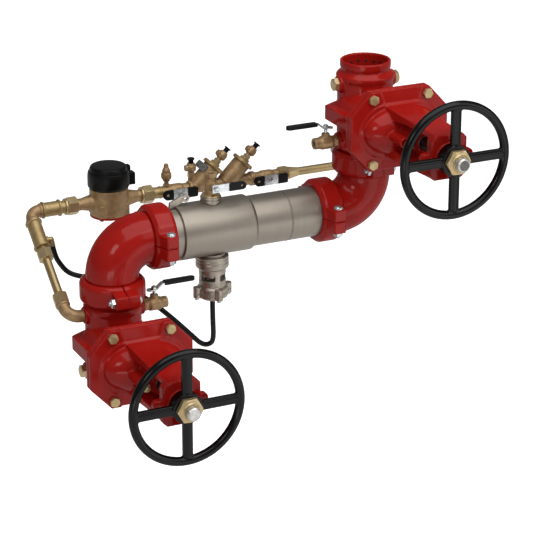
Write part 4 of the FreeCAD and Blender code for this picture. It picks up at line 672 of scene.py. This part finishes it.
# %% Port plugs
port_face, port_offset, plug_flats = 70.25, 66.0, 27
plugs = bmesh.new()
for side in (-1, 1):
    for middle, level in ((valves["inlet"], -port_offset), (valves["outlet"], port_offset)):
        seat = middle + Vector((side * port_face, 0, level))
        hexagon(plugs, plug_flats, seat, seat + RIGHT * side * 11, chamfer=2, roll=20)
piece("port_plugs_skin", plugs, turned_brass, ["port_plugs"], edge=0.4)

# %% [markdown]
# The gland follower is a small painted casting that two studs press onto the packing.  It is
# melted like the big ones, and its studs and nuts are turned parts with a chamfered tip.

# %% Glands
glands = bmesh.new()
for part in lumps("gland_followers"):
    put(glands, part, (0, 0, 0), UP)
piece("gland_followers_skin", glands, red_enamel, ["gland_followers"], cell=1.2, rounds=3)
stud_x, gland_seat, stud_radius, tip_radius = 38.5, 278.0, 5, 4
studs = bmesh.new()
for middle in valves.values():
    for x in (-stud_x, stud_x):
        seat = middle + Vector((x, -gland_seat, 0))
        hexagon(studs, 17, seat, seat + FRONT * 8, chamfer=1.3, roll=11)
        bar(studs, stud_radius, seat, seat + FRONT * 15, sides=32)
        bar(studs, stud_radius, seat + FRONT * 15, seat + FRONT * 16, sides=32, tip_radius=tip_radius)
piece("gland_bolts_skin", studs, yellow_zinc, ["gland_bolts"], edge=0.3)

# %% [markdown]
# A coupling bolt has a domed oval head on one side and a nut on the other, both bright zinc.
# Two couplings stand upright with their bolts along X, two lie with their bolts along Z.

# %% Coupling bolts
clamp_y, elbow_reach, pad_half = 83.5, 106.6, 28
clamps = bmesh.new()
for middle, way in (((0, 0, first_ring), RIGHT), ((elbow_reach, 0, axis_z), UP),
                    ((outlet_x - elbow_reach, 0, axis_z), UP), ((outlet_x, 0, last_ring), RIGHT)):
    for y in (-clamp_y, clamp_y):
        seat = Vector(middle) + Vector((0, y, 0))
        lathe(clamps, [(0, 0), (10.5, 0), (10.5, 2.5), (9.6, 4.6), (7.2, 6.3), (3.6, 7.1), (0, 7.3)],
              seat + way * pad_half, way, steps=48)
        hexagon(clamps, 19, seat - way * (pad_half + 0.5), seat - way * 37, chamfer=1.6, roll=9)
        lathe(clamps, [(0, 0), (5, 0), (5, 12.5), (4, 13.5), (0, 13.5)], seat - way * pad_half, way * -1,
              steps=32)
piece("coupling_bolts_skin", clamps, bright_zinc, ["coupling_bolts"], edge=0.3)

# %% [markdown]
# The check housing is rolled from stainless sheet: a wide middle that is lapped over the left
# pipe end and drawn down to the right one.  One outline with an inside and an outside, swept
# round, makes the whole shell, and a short stub below takes the relief valve.

# %% Check housing
run = Vector((0, 0, axis_z))
low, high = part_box("check_housing")
start, end = 1000 * low[0], 1000 * high[0]
lip, grip, wall = 15.9, 24.6, 4.0
pipe, groove, wide = 57.15, 55.05, 62.8
shell = bmesh.new()
lathe(shell, [(pipe - wall, start), (pipe, start), (pipe, start + lip), (groove, start + lip),
              (groove, start + grip), (pipe, start + grip), (pipe, 151.8), (61.2, 151.8), (62.5, 153.2),
              (wide, 155.5), (wide, 320), (62.3, 322), (58.2, 327.8), (pipe, 328.3), (pipe, end - grip),
              (groove, end - grip), (groove, end - lip), (pipe, end - lip), (pipe, end), (pipe - wall, end),
              (pipe - wall, 326), (wide - wall, 319), (wide - wall, 157), (pipe - wall, 152)],
      run, RIGHT, steps=160)
bar(shell, 30, (240, 0, axis_z - 58), (240, 0, axis_z - 64), sides=96)
piece("housing_shell", shell, brushed_stainless, ["check_housing"])
print("housing, mm long:", round(end - start, 1))

# %% [markdown]
# The pipe end is welded on, and the weld is planished to a flat bead that stands up by less
# than half a millimetre.  It shows by its tint more than by its height.

# %% Weld bead
bead = bmesh.new()
lathe(bead, [(56.8, 0), (57.2, 0), (57.55, 1.5), (57.55, 3.3), (57.2, 4.8), (56.8, 4.8)],
      run + RIGHT * 411, RIGHT, steps=160)
piece("housing_weld", bead, weld_tint)

# %% [markdown]
# On top a grooved ring of cast stainless carries the cock, whose own turned foot is brass.
# Both are outlines swept round an upright axis, so that every groove is a real one.

# %% Ring and foot of the housing's cock
cock_x = 238
ring = bmesh.new()
lathe(ring, [(13, 57), (21.4, 57), (21.4, 61.6), (23.2, 62), (23.6, 62.6), (23.6, 66.4), (22.9, 67.2),
             (21.6, 67.4), (21.6, 69.2), (22.9, 69.4), (23.6, 70.2), (23.6, 73.4), (22.6, 74.5), (13, 74.5)],
      run + RIGHT * cock_x, UP, steps=96)
piece("housing_ring", ring, cast_stainless, ["check_housing"], edge=0.3)
foot = bmesh.new()
lathe(foot, [(13, 74.5), (21.2, 74.5), (21.2, 77.3), (20.2, 78.3), (13, 78.5)], run + RIGHT * cock_x, UP,
      steps=96)
piece("housing_cock_foot", foot, turned_brass, edge=0.3)

# %% [markdown]
# A crane's hook goes into the eye of a bent strap.  The strap is a polygon seen from the
# front, pushed through its width, and the eye is a turned ring.

# %% Lifting strap
strap = bmesh.new()
plate(strap, [Vector((x, -3.5, z)) for x, z in ((137, 400.5), (150, 401.5), (171, 411.5), (170.5, 425),
                                                (166, 425.5), (138, 412.5))], (0, 7, 0))
lathe(strap, [(4, -3.5), (9, -3.5), (9, 3.5), (4, 3.5)], (177, 0, 419), FRONT, steps=48)
piece("lifting_strap", strap, cast_stainless, ["check_housing"], edge=0.8)

# %% [markdown]
# The relief valve is a stainless investment casting: its windows and flange edges are
# softly rounded, while the plunger behind the windows is turned and shiny.  The solids are
# melted on a fine grid, because the ribs between the windows are only a few millimetres wide.

# %% Relief valve
piece("relief_casting", solid_of("relief_body"), cast_stainless, ["relief_body"],
      cell=1.2, rounds=2)
piece("relief_cover_casting", solid_of("relief_cover"), cast_stainless, ["relief_cover"],
      cell=1.2, rounds=3)

# %% [markdown]
# The coil spring inside hangs from a ledge and pushes the plunger down.  When the plunger closes,
# its lower end rises with it, so the whole coil is pressed together towards the ledge.  Here the
# piece gets a mesh of its own, copied from the one it was made with.

# %% Relief spring
spring = piece("relief_spring_skin", solid_of("relief_spring"), turned_steel, ["relief_spring"])
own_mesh(spring)

# %% [markdown]
# The bypass elbows are sand-cast bronze.  Each is melted by itself, so that a seam shows
# where one is screwed to the next.  The sleeves between them are left out here, because they
# are made another way: they are found by the distance of a lump from a sleeve's middle.

# %% Bypass elbows
bypass_y, bypass_z = 225.0, 356.2
left_x, right_x, left_foot_z, right_foot_z = -107.0, 726.4, 182.5, 499.9
left_top, right_top = Vector((left_x, bypass_y, bypass_z)), Vector((right_x, bypass_y, bypass_z))
left_way = Vector((0, -bypass_y, -173.7)).normalized()
right_way = Vector((0, -bypass_y, 143.7)).normalized()
socket, near = 28, 14
sleeves = [(left_top + RIGHT * socket, RIGHT, 44), (left_top + left_way * socket, left_way, 70),
           (right_top + right_way * socket, right_way, 70)]
for count, part in enumerate(lumps("bypass_fittings")):
    centre = sum((vert.co for vert in part.verts), Vector()) / len(part.verts)
    if min((centre - start - way * length / 2).length for start, way, length in sleeves) < near:
        continue
    piece("bypass_fitting_%d" % count, part, cast_bronze, ["bypass_fittings"], cell=1.2, rounds=3)

# %% [markdown]
# A sleeve is a clean brass casting with a bead round each end, which a melted solid would
# lose, so it is turned from an outline.  The one on the left leg has a boss for the hose.

# %% Bypass sleeves
for count, (start, way, length) in enumerate(sleeves):
    sleeve = bmesh.new()
    lathe(sleeve, [(0, 0), (18.6, 0), (19.2, 0.8), (19.2, 4.2), (18.4, 5), (16.6, 5.6), (16.6, length - 5.6),
                   (18.4, length - 5), (19.2, length - 4.2), (19.2, length - 0.8), (18.6, length),
                   (0, length)], start, way)
    if count == 1:
        boss = start + way * 51
        bar(sleeve, 8.5, boss, boss + RIGHT * 19.5, sides=32)
    piece("bypass_sleeve_%d" % count, sleeve, yellow_brass, ["bypass_fittings"], edge=0.5)
print("sleeves:", len(sleeves))

# %% [markdown]
# Short plain necks lead into the meter on both sides, the right one with a collar.

# %% Meter necks
necks = bmesh.new()
bar(necks, 14.6, (-36, bypass_y, bypass_z), (-24, bypass_y, bypass_z))
bar(necks, 13.4, (190, bypass_y, bypass_z), (219, bypass_y, bypass_z))
lathe(necks, [(0, 0), (14.6, 0), (14.6, 4), (13.4, 5), (0, 5)], (207, bypass_y, bypass_z), RIGHT)
piece("meter_necks", necks, yellow_brass, edge=0.4)

# %% [markdown]
# Valve bodies, the small preventer and the meter's case are sand-cast too: melted solids.  The
# preventer's covers are screwed in and the meter's base plate is stamped, so those two only
# get a bevel.

# %% Bronze bodies
for node in ("lever_cock_bodies", "shutoff_bodies", "small_preventer_body", "housing_cock_body",
             "meter_case"):
    piece(node + "_casting", solid_of(node), cast_bronze, [node], cell=1.2, rounds=3)
piece("small_covers_skin", solid_of("small_preventer_covers"), yellow_brass,
      ["small_preventer_covers"], edge=0.8)
piece("base_plate_skin", solid_of("meter_base_plate"), red_enamel, ["meter_base_plate"], edge=0.8)

# %% [markdown]
# A test cock is a small ball valve: a hexagon neck, a squat cast body with a side port, and
# a black cap.  The neck stays turned while the body is melted, so they are two pieces.

# %% Test cocks
slope = Vector((1, 0, 1)).normalized()
run_line = Vector((0, bypass_y, bypass_z))
first_cover_x, second_cover_x, cover_reach = 299, 374, 74
cocks, cock_necks = bmesh.new(), bmesh.new()
for foot, way in ((run_line + RIGHT * 288 + UP * 28, UP),
                  (run_line + RIGHT * first_cover_x + slope * cover_reach, slope),
                  (run_line + RIGHT * second_cover_x + slope * cover_reach, slope)):
    hexagon(cock_necks, 15, foot - way * 1, foot + way * 9, chamfer=0.8, roll=8)
    lathe(cock_necks, [(0, 8), (6.4, 8), (6.4, 14), (0, 14)], foot, way, steps=32)
    lathe(cocks, [(0, 11.5), (8, 11.5), (11.6, 15), (12, 20), (11.6, 26), (9.6, 29), (9.2, 32), (0, 32)],
          foot, way, steps=48)
    side_way = way.cross(BACK)
    hub = foot + way * 21
    bar(cocks, 7.4, hub, hub + side_way * 15, sides=32)
    bar(cocks, 6.2, hub, hub + FRONT * 13.5, sides=32)
piece("test_cock_bodies", cocks, cast_bronze, ["test_cocks"], cell=1.0, rounds=2)

# %% [markdown]
# The bleed cock beside the meter is turned all over, with rings where the tool stepped.

# %% Bleed cock
bleed = run_line + RIGHT * 226 + UP * 11.5
hexagon(cock_necks, 15, bleed, bleed + UP * 6.5, chamfer=1, roll=4)
piece("test_cock_necks", cock_necks, turned_brass, ["test_cocks"], edge=0.3)
bleeder = bmesh.new()
lathe(bleeder, [(0, 0), (5.2, 0), (5.2, 13), (8, 14.5), (8.4, 18), (11.2, 20), (12.2, 24), (12.2, 31),
                (10.8, 34), (9, 35), (9.6, 37.5), (9, 41), (6.2, 46), (5.6, 47), (5.6, 52), (4.2, 55), (0, 56)],
      bleed, UP, steps=48)
piece("bleed_cock", bleeder, cast_bronze, ["test_cocks"])

# %% [markdown]
# A bare metal tag hangs by a wire beside the first chamber of the small preventer.  Its
# plane leans back and turns a little to the front, so its corners are reckoned from two
# directions in that plane.

# %% Hang tag
outward = Vector((-1, 0, 1)).normalized()
across = (FRONT * 0.8 - outward * 0.6).normalized()
chamber = Vector((first_cover_x, bypass_y, bypass_z))
tag_middle = chamber + slope * 45.6 + outward * 27.5 + FRONT * 6.7
half_thick = slope.cross(across).normalized() * 0.5
corners = [tag_middle + across * a + slope * b for a, b in ((-15, -8.5), (15, -8.5), (15, 8.5), (-15, 8.5))]
tag = bmesh.new()
plate(tag, [corner - half_thick for corner in corners], half_thick * 2)
bar(tag, 0.6, tag_middle + slope * 7, chamber + slope * 62 + outward * 25.5, sides=12)
piece("hang_tag", tag, dull_steel_and_shade)

# %% [markdown]
# The bypass nuts are brass hexagons, turned at both ends so that a spanner slides on.  The
# meter's two nuts have a flange, and the last one holds a cone that narrows to the tube.

# %% Bypass nuts
foot_reach, nut_length = 36.75, 26
bypass_nuts = bmesh.new()
for x, foot_z in ((left_x, left_foot_z), (right_x, right_foot_z)):
    top, foot = Vector((x, bypass_y, bypass_z)), Vector((x, 0, foot_z))
    way = (foot - top).normalized()
    for start in (top + way * 104, foot - way * (foot_reach + nut_length)):
        hexagon(bypass_nuts, 31, start, start + way * nut_length, chamfer=2.2, roll=12, both=True)
for x in (-8.5, 176.5):
    lathe(bypass_nuts, [(0, 0), (18.3, 0), (19.2, 1), (19.2, 4), (18.3, 5), (0, 5)],
          (x - 16, bypass_y, bypass_z), RIGHT)
    hexagon(bypass_nuts, 37, (x - 11, bypass_y, bypass_z), (x + 14, bypass_y, bypass_z), chamfer=2.6,
            roll=24, both=True)
hexagon(bypass_nuts, 31, (510, bypass_y, bypass_z), (534, bypass_y, bypass_z), chamfer=2.2, roll=15,
        both=True)
lathe(bypass_nuts, [(0, 0), (15.2, 0), (14.6, 5), (10.8, 25), (10.8, 27), (0, 27)],
      (534, bypass_y, bypass_z), RIGHT)
piece("bypass_nuts_skin", bypass_nuts, turned_brass, ["bypass_nuts"], edge=0.5)

# %% [markdown]
# The meter's register is a black drum with a chamfered foot and a lug at its side, moulded
# in one.  Drum and lug are set into each other, and a wide bevel rounds what they show.

# %% Meter register
drum = bmesh.new()
meter = Vector((84, bypass_y, bypass_z))
drum_foot = meter + UP * 32
lathe(drum, [(0, 0), (42, 0), (44, 0.6), (47.5, 4.5), (48, 7), (48, 28), (47, 36), (45.8, 40), (0, 40)],
      drum_foot, UP, steps=96)
box(drum, meter + Vector((40, -10, 32.5)), meter + Vector((62, 10, 61)))
for side in (-1, 1):
    box(drum, meter + Vector((41, 7.5 * side - 1.8, 58.7)), meter + Vector((51, 7.5 * side + 1.8, 76.8)))
piece("register_skin", drum, black_plastic, ["meter_register"], edge=1.2)

# %% [markdown]
# The lid is a shallow cap with a rounded crown, and its knuckle turns between the two ears of
# the register's lug.

# %% Meter lid
hinge_z, knuckle = 75.8, 3.5
lid = bmesh.new()
lathe(lid, [(0, 0), (44, 0), (43.4, 3), (42, 8), (41, 10.2), (38.6, 11.6), (36, 11.9), (0, 12.0)],
      drum_foot + UP * 40.3, UP, steps=96)
box(lid, meter + Vector((38, -5.5, 72.3)), meter + Vector((48.5, 5.5, 79.3)))
bar(lid, knuckle, meter + Vector((48.5, -5.5, hinge_z)), meter + Vector((48.5, 5.5, hinge_z)), sides=32)
piece("lid_skin", lid, black_plastic, ["meter_lid"], "meter_cover", edge=0.8)

# %% [markdown]
# Four small screws hold the meter's base plate from below.

# %% Base screws
screws = bmesh.new()
for x in (-29, 29):
    for y in (-29, 29):
        head = meter + Vector((x, y, -34.5))
        hexagon(screws, 7, head, head + DOWN * 3.5, chamfer=0.6, roll=10)
piece("base_screws", screws, bright_zinc, edge=0.2)

# %% [markdown]
# A lever or handle is a strip of plated steel with a grip of black vinyl dipped over it.
# Each is drawn lying along X at its stem and then turned and moved to its place.  The strip
# has sharp bevels; the grip is melted and softened, as the dipped vinyl is.

# %% Handle tools
def handle(body, node, steel, vinyl, place, turn=0):
    """Finish a handle's two shapes and put them where the stem is."""
    seat = Matrix.Translation(Vector(place)) @ Matrix.Rotation(math.radians(turn), 4, "Z")
    for bm in (steel, vinyl):
        bmesh.ops.transform(bm, matrix=seat, verts=bm.verts)
    piece(node + "_steel", steel, bright_zinc, [node], body, edge=0.4)
    grip = piece(node + "_vinyl", vinyl, vinyl_grip, body=body, cell=0.7, rounds=3)
    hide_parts(node)


def eye(bm, radius, hole, centre, half):
    """A flat round end with a hole through it, facing the front."""
    lathe(bm, [(hole, -half), (radius, -half), (radius, half), (hole, half)], centre, FRONT, steps=48)


print("handles:", bright_zinc.name, "and", vinyl_grip.name)

# %% [markdown]
# The levers of the two main valves' cocks are cranked, so that a hand clears the body: the
# strip's profile is seen from the side and pushed through its width.

# %% Levers of the main valves
profile = [(-9, 32), (6, 32), (20, 44), (80, 44), (80, 47), (18, 47), (4, 35), (-9, 35)]
for side, place, turn in (("inlet", (98.25, 0, left_foot_z), 0), ("outlet", (521.15, 0, right_foot_z), 180)):
    steel, vinyl = bmesh.new(), bmesh.new()
    plate(steel, [Vector((x, -7, z)) for x, z in profile], (0, 14, 0))
    bar(steel, 8.5, (-9, 0, 32), (-9, 0, 35), sides=32)
    hexagon(steel, 12, (0, 0, 35), (0, 0, 40), chamfer=0.8)
    bar(steel, 3.9, (0, 0, 35), (0, 0, 42), sides=24)
    box(vinyl, (24, -8.5, 41.5), (89.5, 8.5, 49.5))
    bar(vinyl, 8.5, (89.5, 0, 41.5), (89.5, 0, 49.5))
    handle(side + "_cock", side + "_cock_lever", steel, vinyl, place, turn)

# %% [markdown]
# The housing's cock has a flat lever that ends in an eye, for a padlock.

# %% Lever of the housing's cock
steel, vinyl = bmesh.new(), bmesh.new()
box(steel, (-9, -32, -9), (38, -29, 9))
hexagon(steel, 12, (0, -32, 0), (0, -36, 0), chamfer=0.8)
box(vinyl, (31, -34.5, -9), (58, -26.5, 9))
for level in (-1, 1):
    low, high = sorted((3.6 * level, 9 * level))
    box(vinyl, (57, -34.5, low), (63, -26.5, high))
eye(vinyl, 9, 3.6, (63, -30.5, 0), 4)
handle("housing_cock", "housing_cock_lever", steel, vinyl, (cock_x, 0, 440.2))

# %% [markdown]
# A tee handle is short enough to turn between the pipes: a strip with a stub of vinyl on one
# arm and a locking eye on the other.

# %% Tee handles
for body, node, x in (("first_tee", "first_tee_handle", 249), ("second_tee", "second_tee_handle", 479)):
    steel, vinyl = bmesh.new(), bmesh.new()
    box(steel, (-31, -30, -7.5), (31, -27, 7.5))
    box(steel, (-17.5, -31.5, -11.5), (17.5, -27, 11.5))
    hexagon(steel, 12, (0, -31.5, 0), (0, -35, 0), chamfer=0.8)
    bar(steel, 8, (0, -31.5, 0), (0, -32.3, 0))
    box(vinyl, (17.5, -32.5, -11.5), (39, -24.5, 11.5))
    box(vinyl, (38, -32.5, -7.5), (43, -24.5, 7.5))
    for level in (-1, 1):
        bar(vinyl, 4, (39, -32.5, 7.5 * level), (39, -24.5, 7.5 * level))
        low, high = sorted((3.8 * level, 11.5 * level))
        box(vinyl, (-31.5, -32.5, low), (-17.5, -24.5, high))
    box(vinyl, (-25, -32.5, -11), (-17.5, -24.5, 11))
    eye(vinyl, 11.5, 3.8, (-31.5, -28.5, 0), 4)
    handle(body, node, steel, vinyl, (x, bypass_y, bypass_z))

# %% [markdown]
# The sensing hose is a soft part of fixed length, so it is one smooth spline that follows
# the route of its solid: the same points, in millimetres, as control points of a quadratic
# NURBS curve.  A mesh would not know its own length; a curve with a bevel does.

# %% Sensing hose
route = [(240, 0, 165.2), (240, 0, 126), (242.5, 0, 68), (233, 8, 55), (219.5, 19.5, 55), (202, 31, 74),
         (169, 56, 110), (119, 88, 158), (64, 112, 190), (9, 124, 213), (-27, 136, 220),
         (-50, 147, 229), (-65, 155, 250), (-75.5, 153.97, 270.3), (-78.74, 158.97, 292.46)]
curve = bpy.data.curves.new("sensing_hose_skin", "CURVE")
curve.dimensions = "3D"
spline = curve.splines.new("NURBS")
spline.points.add(len(route) - 1)
for point, spot in zip(spline.points, route):
    point.co = (*[value * TO_METRES for value in spot], 1)
spline.order_u = 3
spline.use_endpoint_u = True
spline.resolution_u = 12
curve.bevel_depth = 0.0059
curve.bevel_resolution = 6
curve.use_fill_caps = True
curve.materials.append(hose_rubber)
hose = bpy.data.objects.new("sensing_hose_skin", curve)
bpy.context.scene.collection.objects.link(hose)
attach(hose, "pipework")
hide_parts("sensing_hose")
print("hose route, points:", len(route))

# %% [markdown]
# The floor is a plain pale sheet far below, which throws light up at the object.  For camera
# rays it glows at full white, so the background is white from its own colour, and mirrors see
# it at less than half of that, so that metal keeps its dark lower sides.

# %% Floor
floor_level, floor_reach = -0.55, 40   # metres
floor_bm = bmesh.new()
bmesh.ops.create_grid(floor_bm, x_segments=1, y_segments=1, size=floor_reach)
bmesh.ops.translate(floor_bm, verts=floor_bm.verts, vec=(0, 0, floor_level))
floor_mesh = bpy.data.meshes.new("floor")
floor_bm.to_mesh(floor_mesh)
floor_bm.free()
floor = bpy.data.objects.new("floor", floor_mesh)
bpy.context.scene.collection.objects.link(floor)
# Matt studio paint: an even pale ground without any highlight.
floor_paint = bpy.data.materials.new("floor_paint")
floor_paint.use_nodes = True
tree = floor_paint.node_tree
shader = tree.nodes["Principled BSDF"]
shader.inputs["Base Color"].default_value = colour("#d8d8d8")
shader.inputs["Roughness"].default_value = 0.9
shader.inputs["Emission Color"].default_value = (1, 1, 1, 1)
mirror_share = 0.4
rays = add(tree, "ShaderNodeLightPath")
mirrored = add(tree, "ShaderNodeMath", {0: rays.outputs["Is Glossy Ray"], 1: mirror_share},
               operation="MULTIPLY")
shown = add(tree, "ShaderNodeMath", {0: rays.outputs["Is Camera Ray"], 1: mirrored.outputs["Value"]},
            operation="MAXIMUM")
tree.links.new(shown.outputs["Value"], shader.inputs["Emission Strength"])
floor_mesh.materials.append(floor_paint)

# %% [markdown]
# Round about there is only a dim white sky that fills the shadows.  The camera sees it at full
# white, like the floor, which needs no more light on the object.

# %% World
world = bpy.data.worlds.new("world")
bpy.context.scene.world = world
world.use_nodes = True
sky = world.node_tree.nodes["Background"]
sky.inputs["Color"].default_value = (1, 1, 1, 1)
dim, full = 0.2, 1.0
seen = add(world.node_tree, "ShaderNodeLightPath")
strength = add(world.node_tree, "ShaderNodeMapRange", {"Value": seen.outputs["Is Camera Ray"],
                                                       "To Min": dim, "To Max": full})
world.node_tree.links.new(strength.outputs["Result"], sky.inputs["Strength"])
print("sky strength on the object:", dim)

# %% [markdown]
# A studio shows a shiny object by what it mirrors, so each lamp is a soft panel.  The key lamp
# draws the small highlights and a flat low one the second row; the large dim panels in front
# are what the metals mirror, and the top one lights the upper faces.

# %% Lamps
def lamp(name, place, aim, width, height, power):
    """A soft lamp, width by height in metres, that looks at a point."""
    light = bpy.data.lights.new(name, "AREA")
    light.shape = "RECTANGLE"
    light.size = width
    light.size_y = height
    light.energy = power
    holder = bpy.data.objects.new(name, light)
    bpy.context.scene.collection.objects.link(holder)
    holder.location = place
    holder.rotation_mode = "QUATERNION"
    holder.rotation_quaternion = (Vector(aim) - Vector(place)).to_track_quat("-Z", "Y")


work = (0.35, -0.1, 0.35)
lamp("key", (-2.6, -2.25, 2.5), work, 1.1, 1.1, 20)
lamp("low", (-1.8, -3.0, -0.3), work, 1.5, 0.45, 7)
lamp("fill", (3.2, -2.4, 1.2), work, 1.6, 1.6, 15)
lamp("front panel", (1.45, -2.0, 1.9), work, 2.2, 1.6, 13)
lamp("low panel", (1.2, -1.95, -0.42), work, 1.5, 1.5, 6.5)
lamp("top", (0.4, -1.0, 3.1), work, 3.2, 3.2, 70)
bpy.context.scene.view_settings.view_transform = "Standard"
print("lamps:", len(bpy.data.lights))
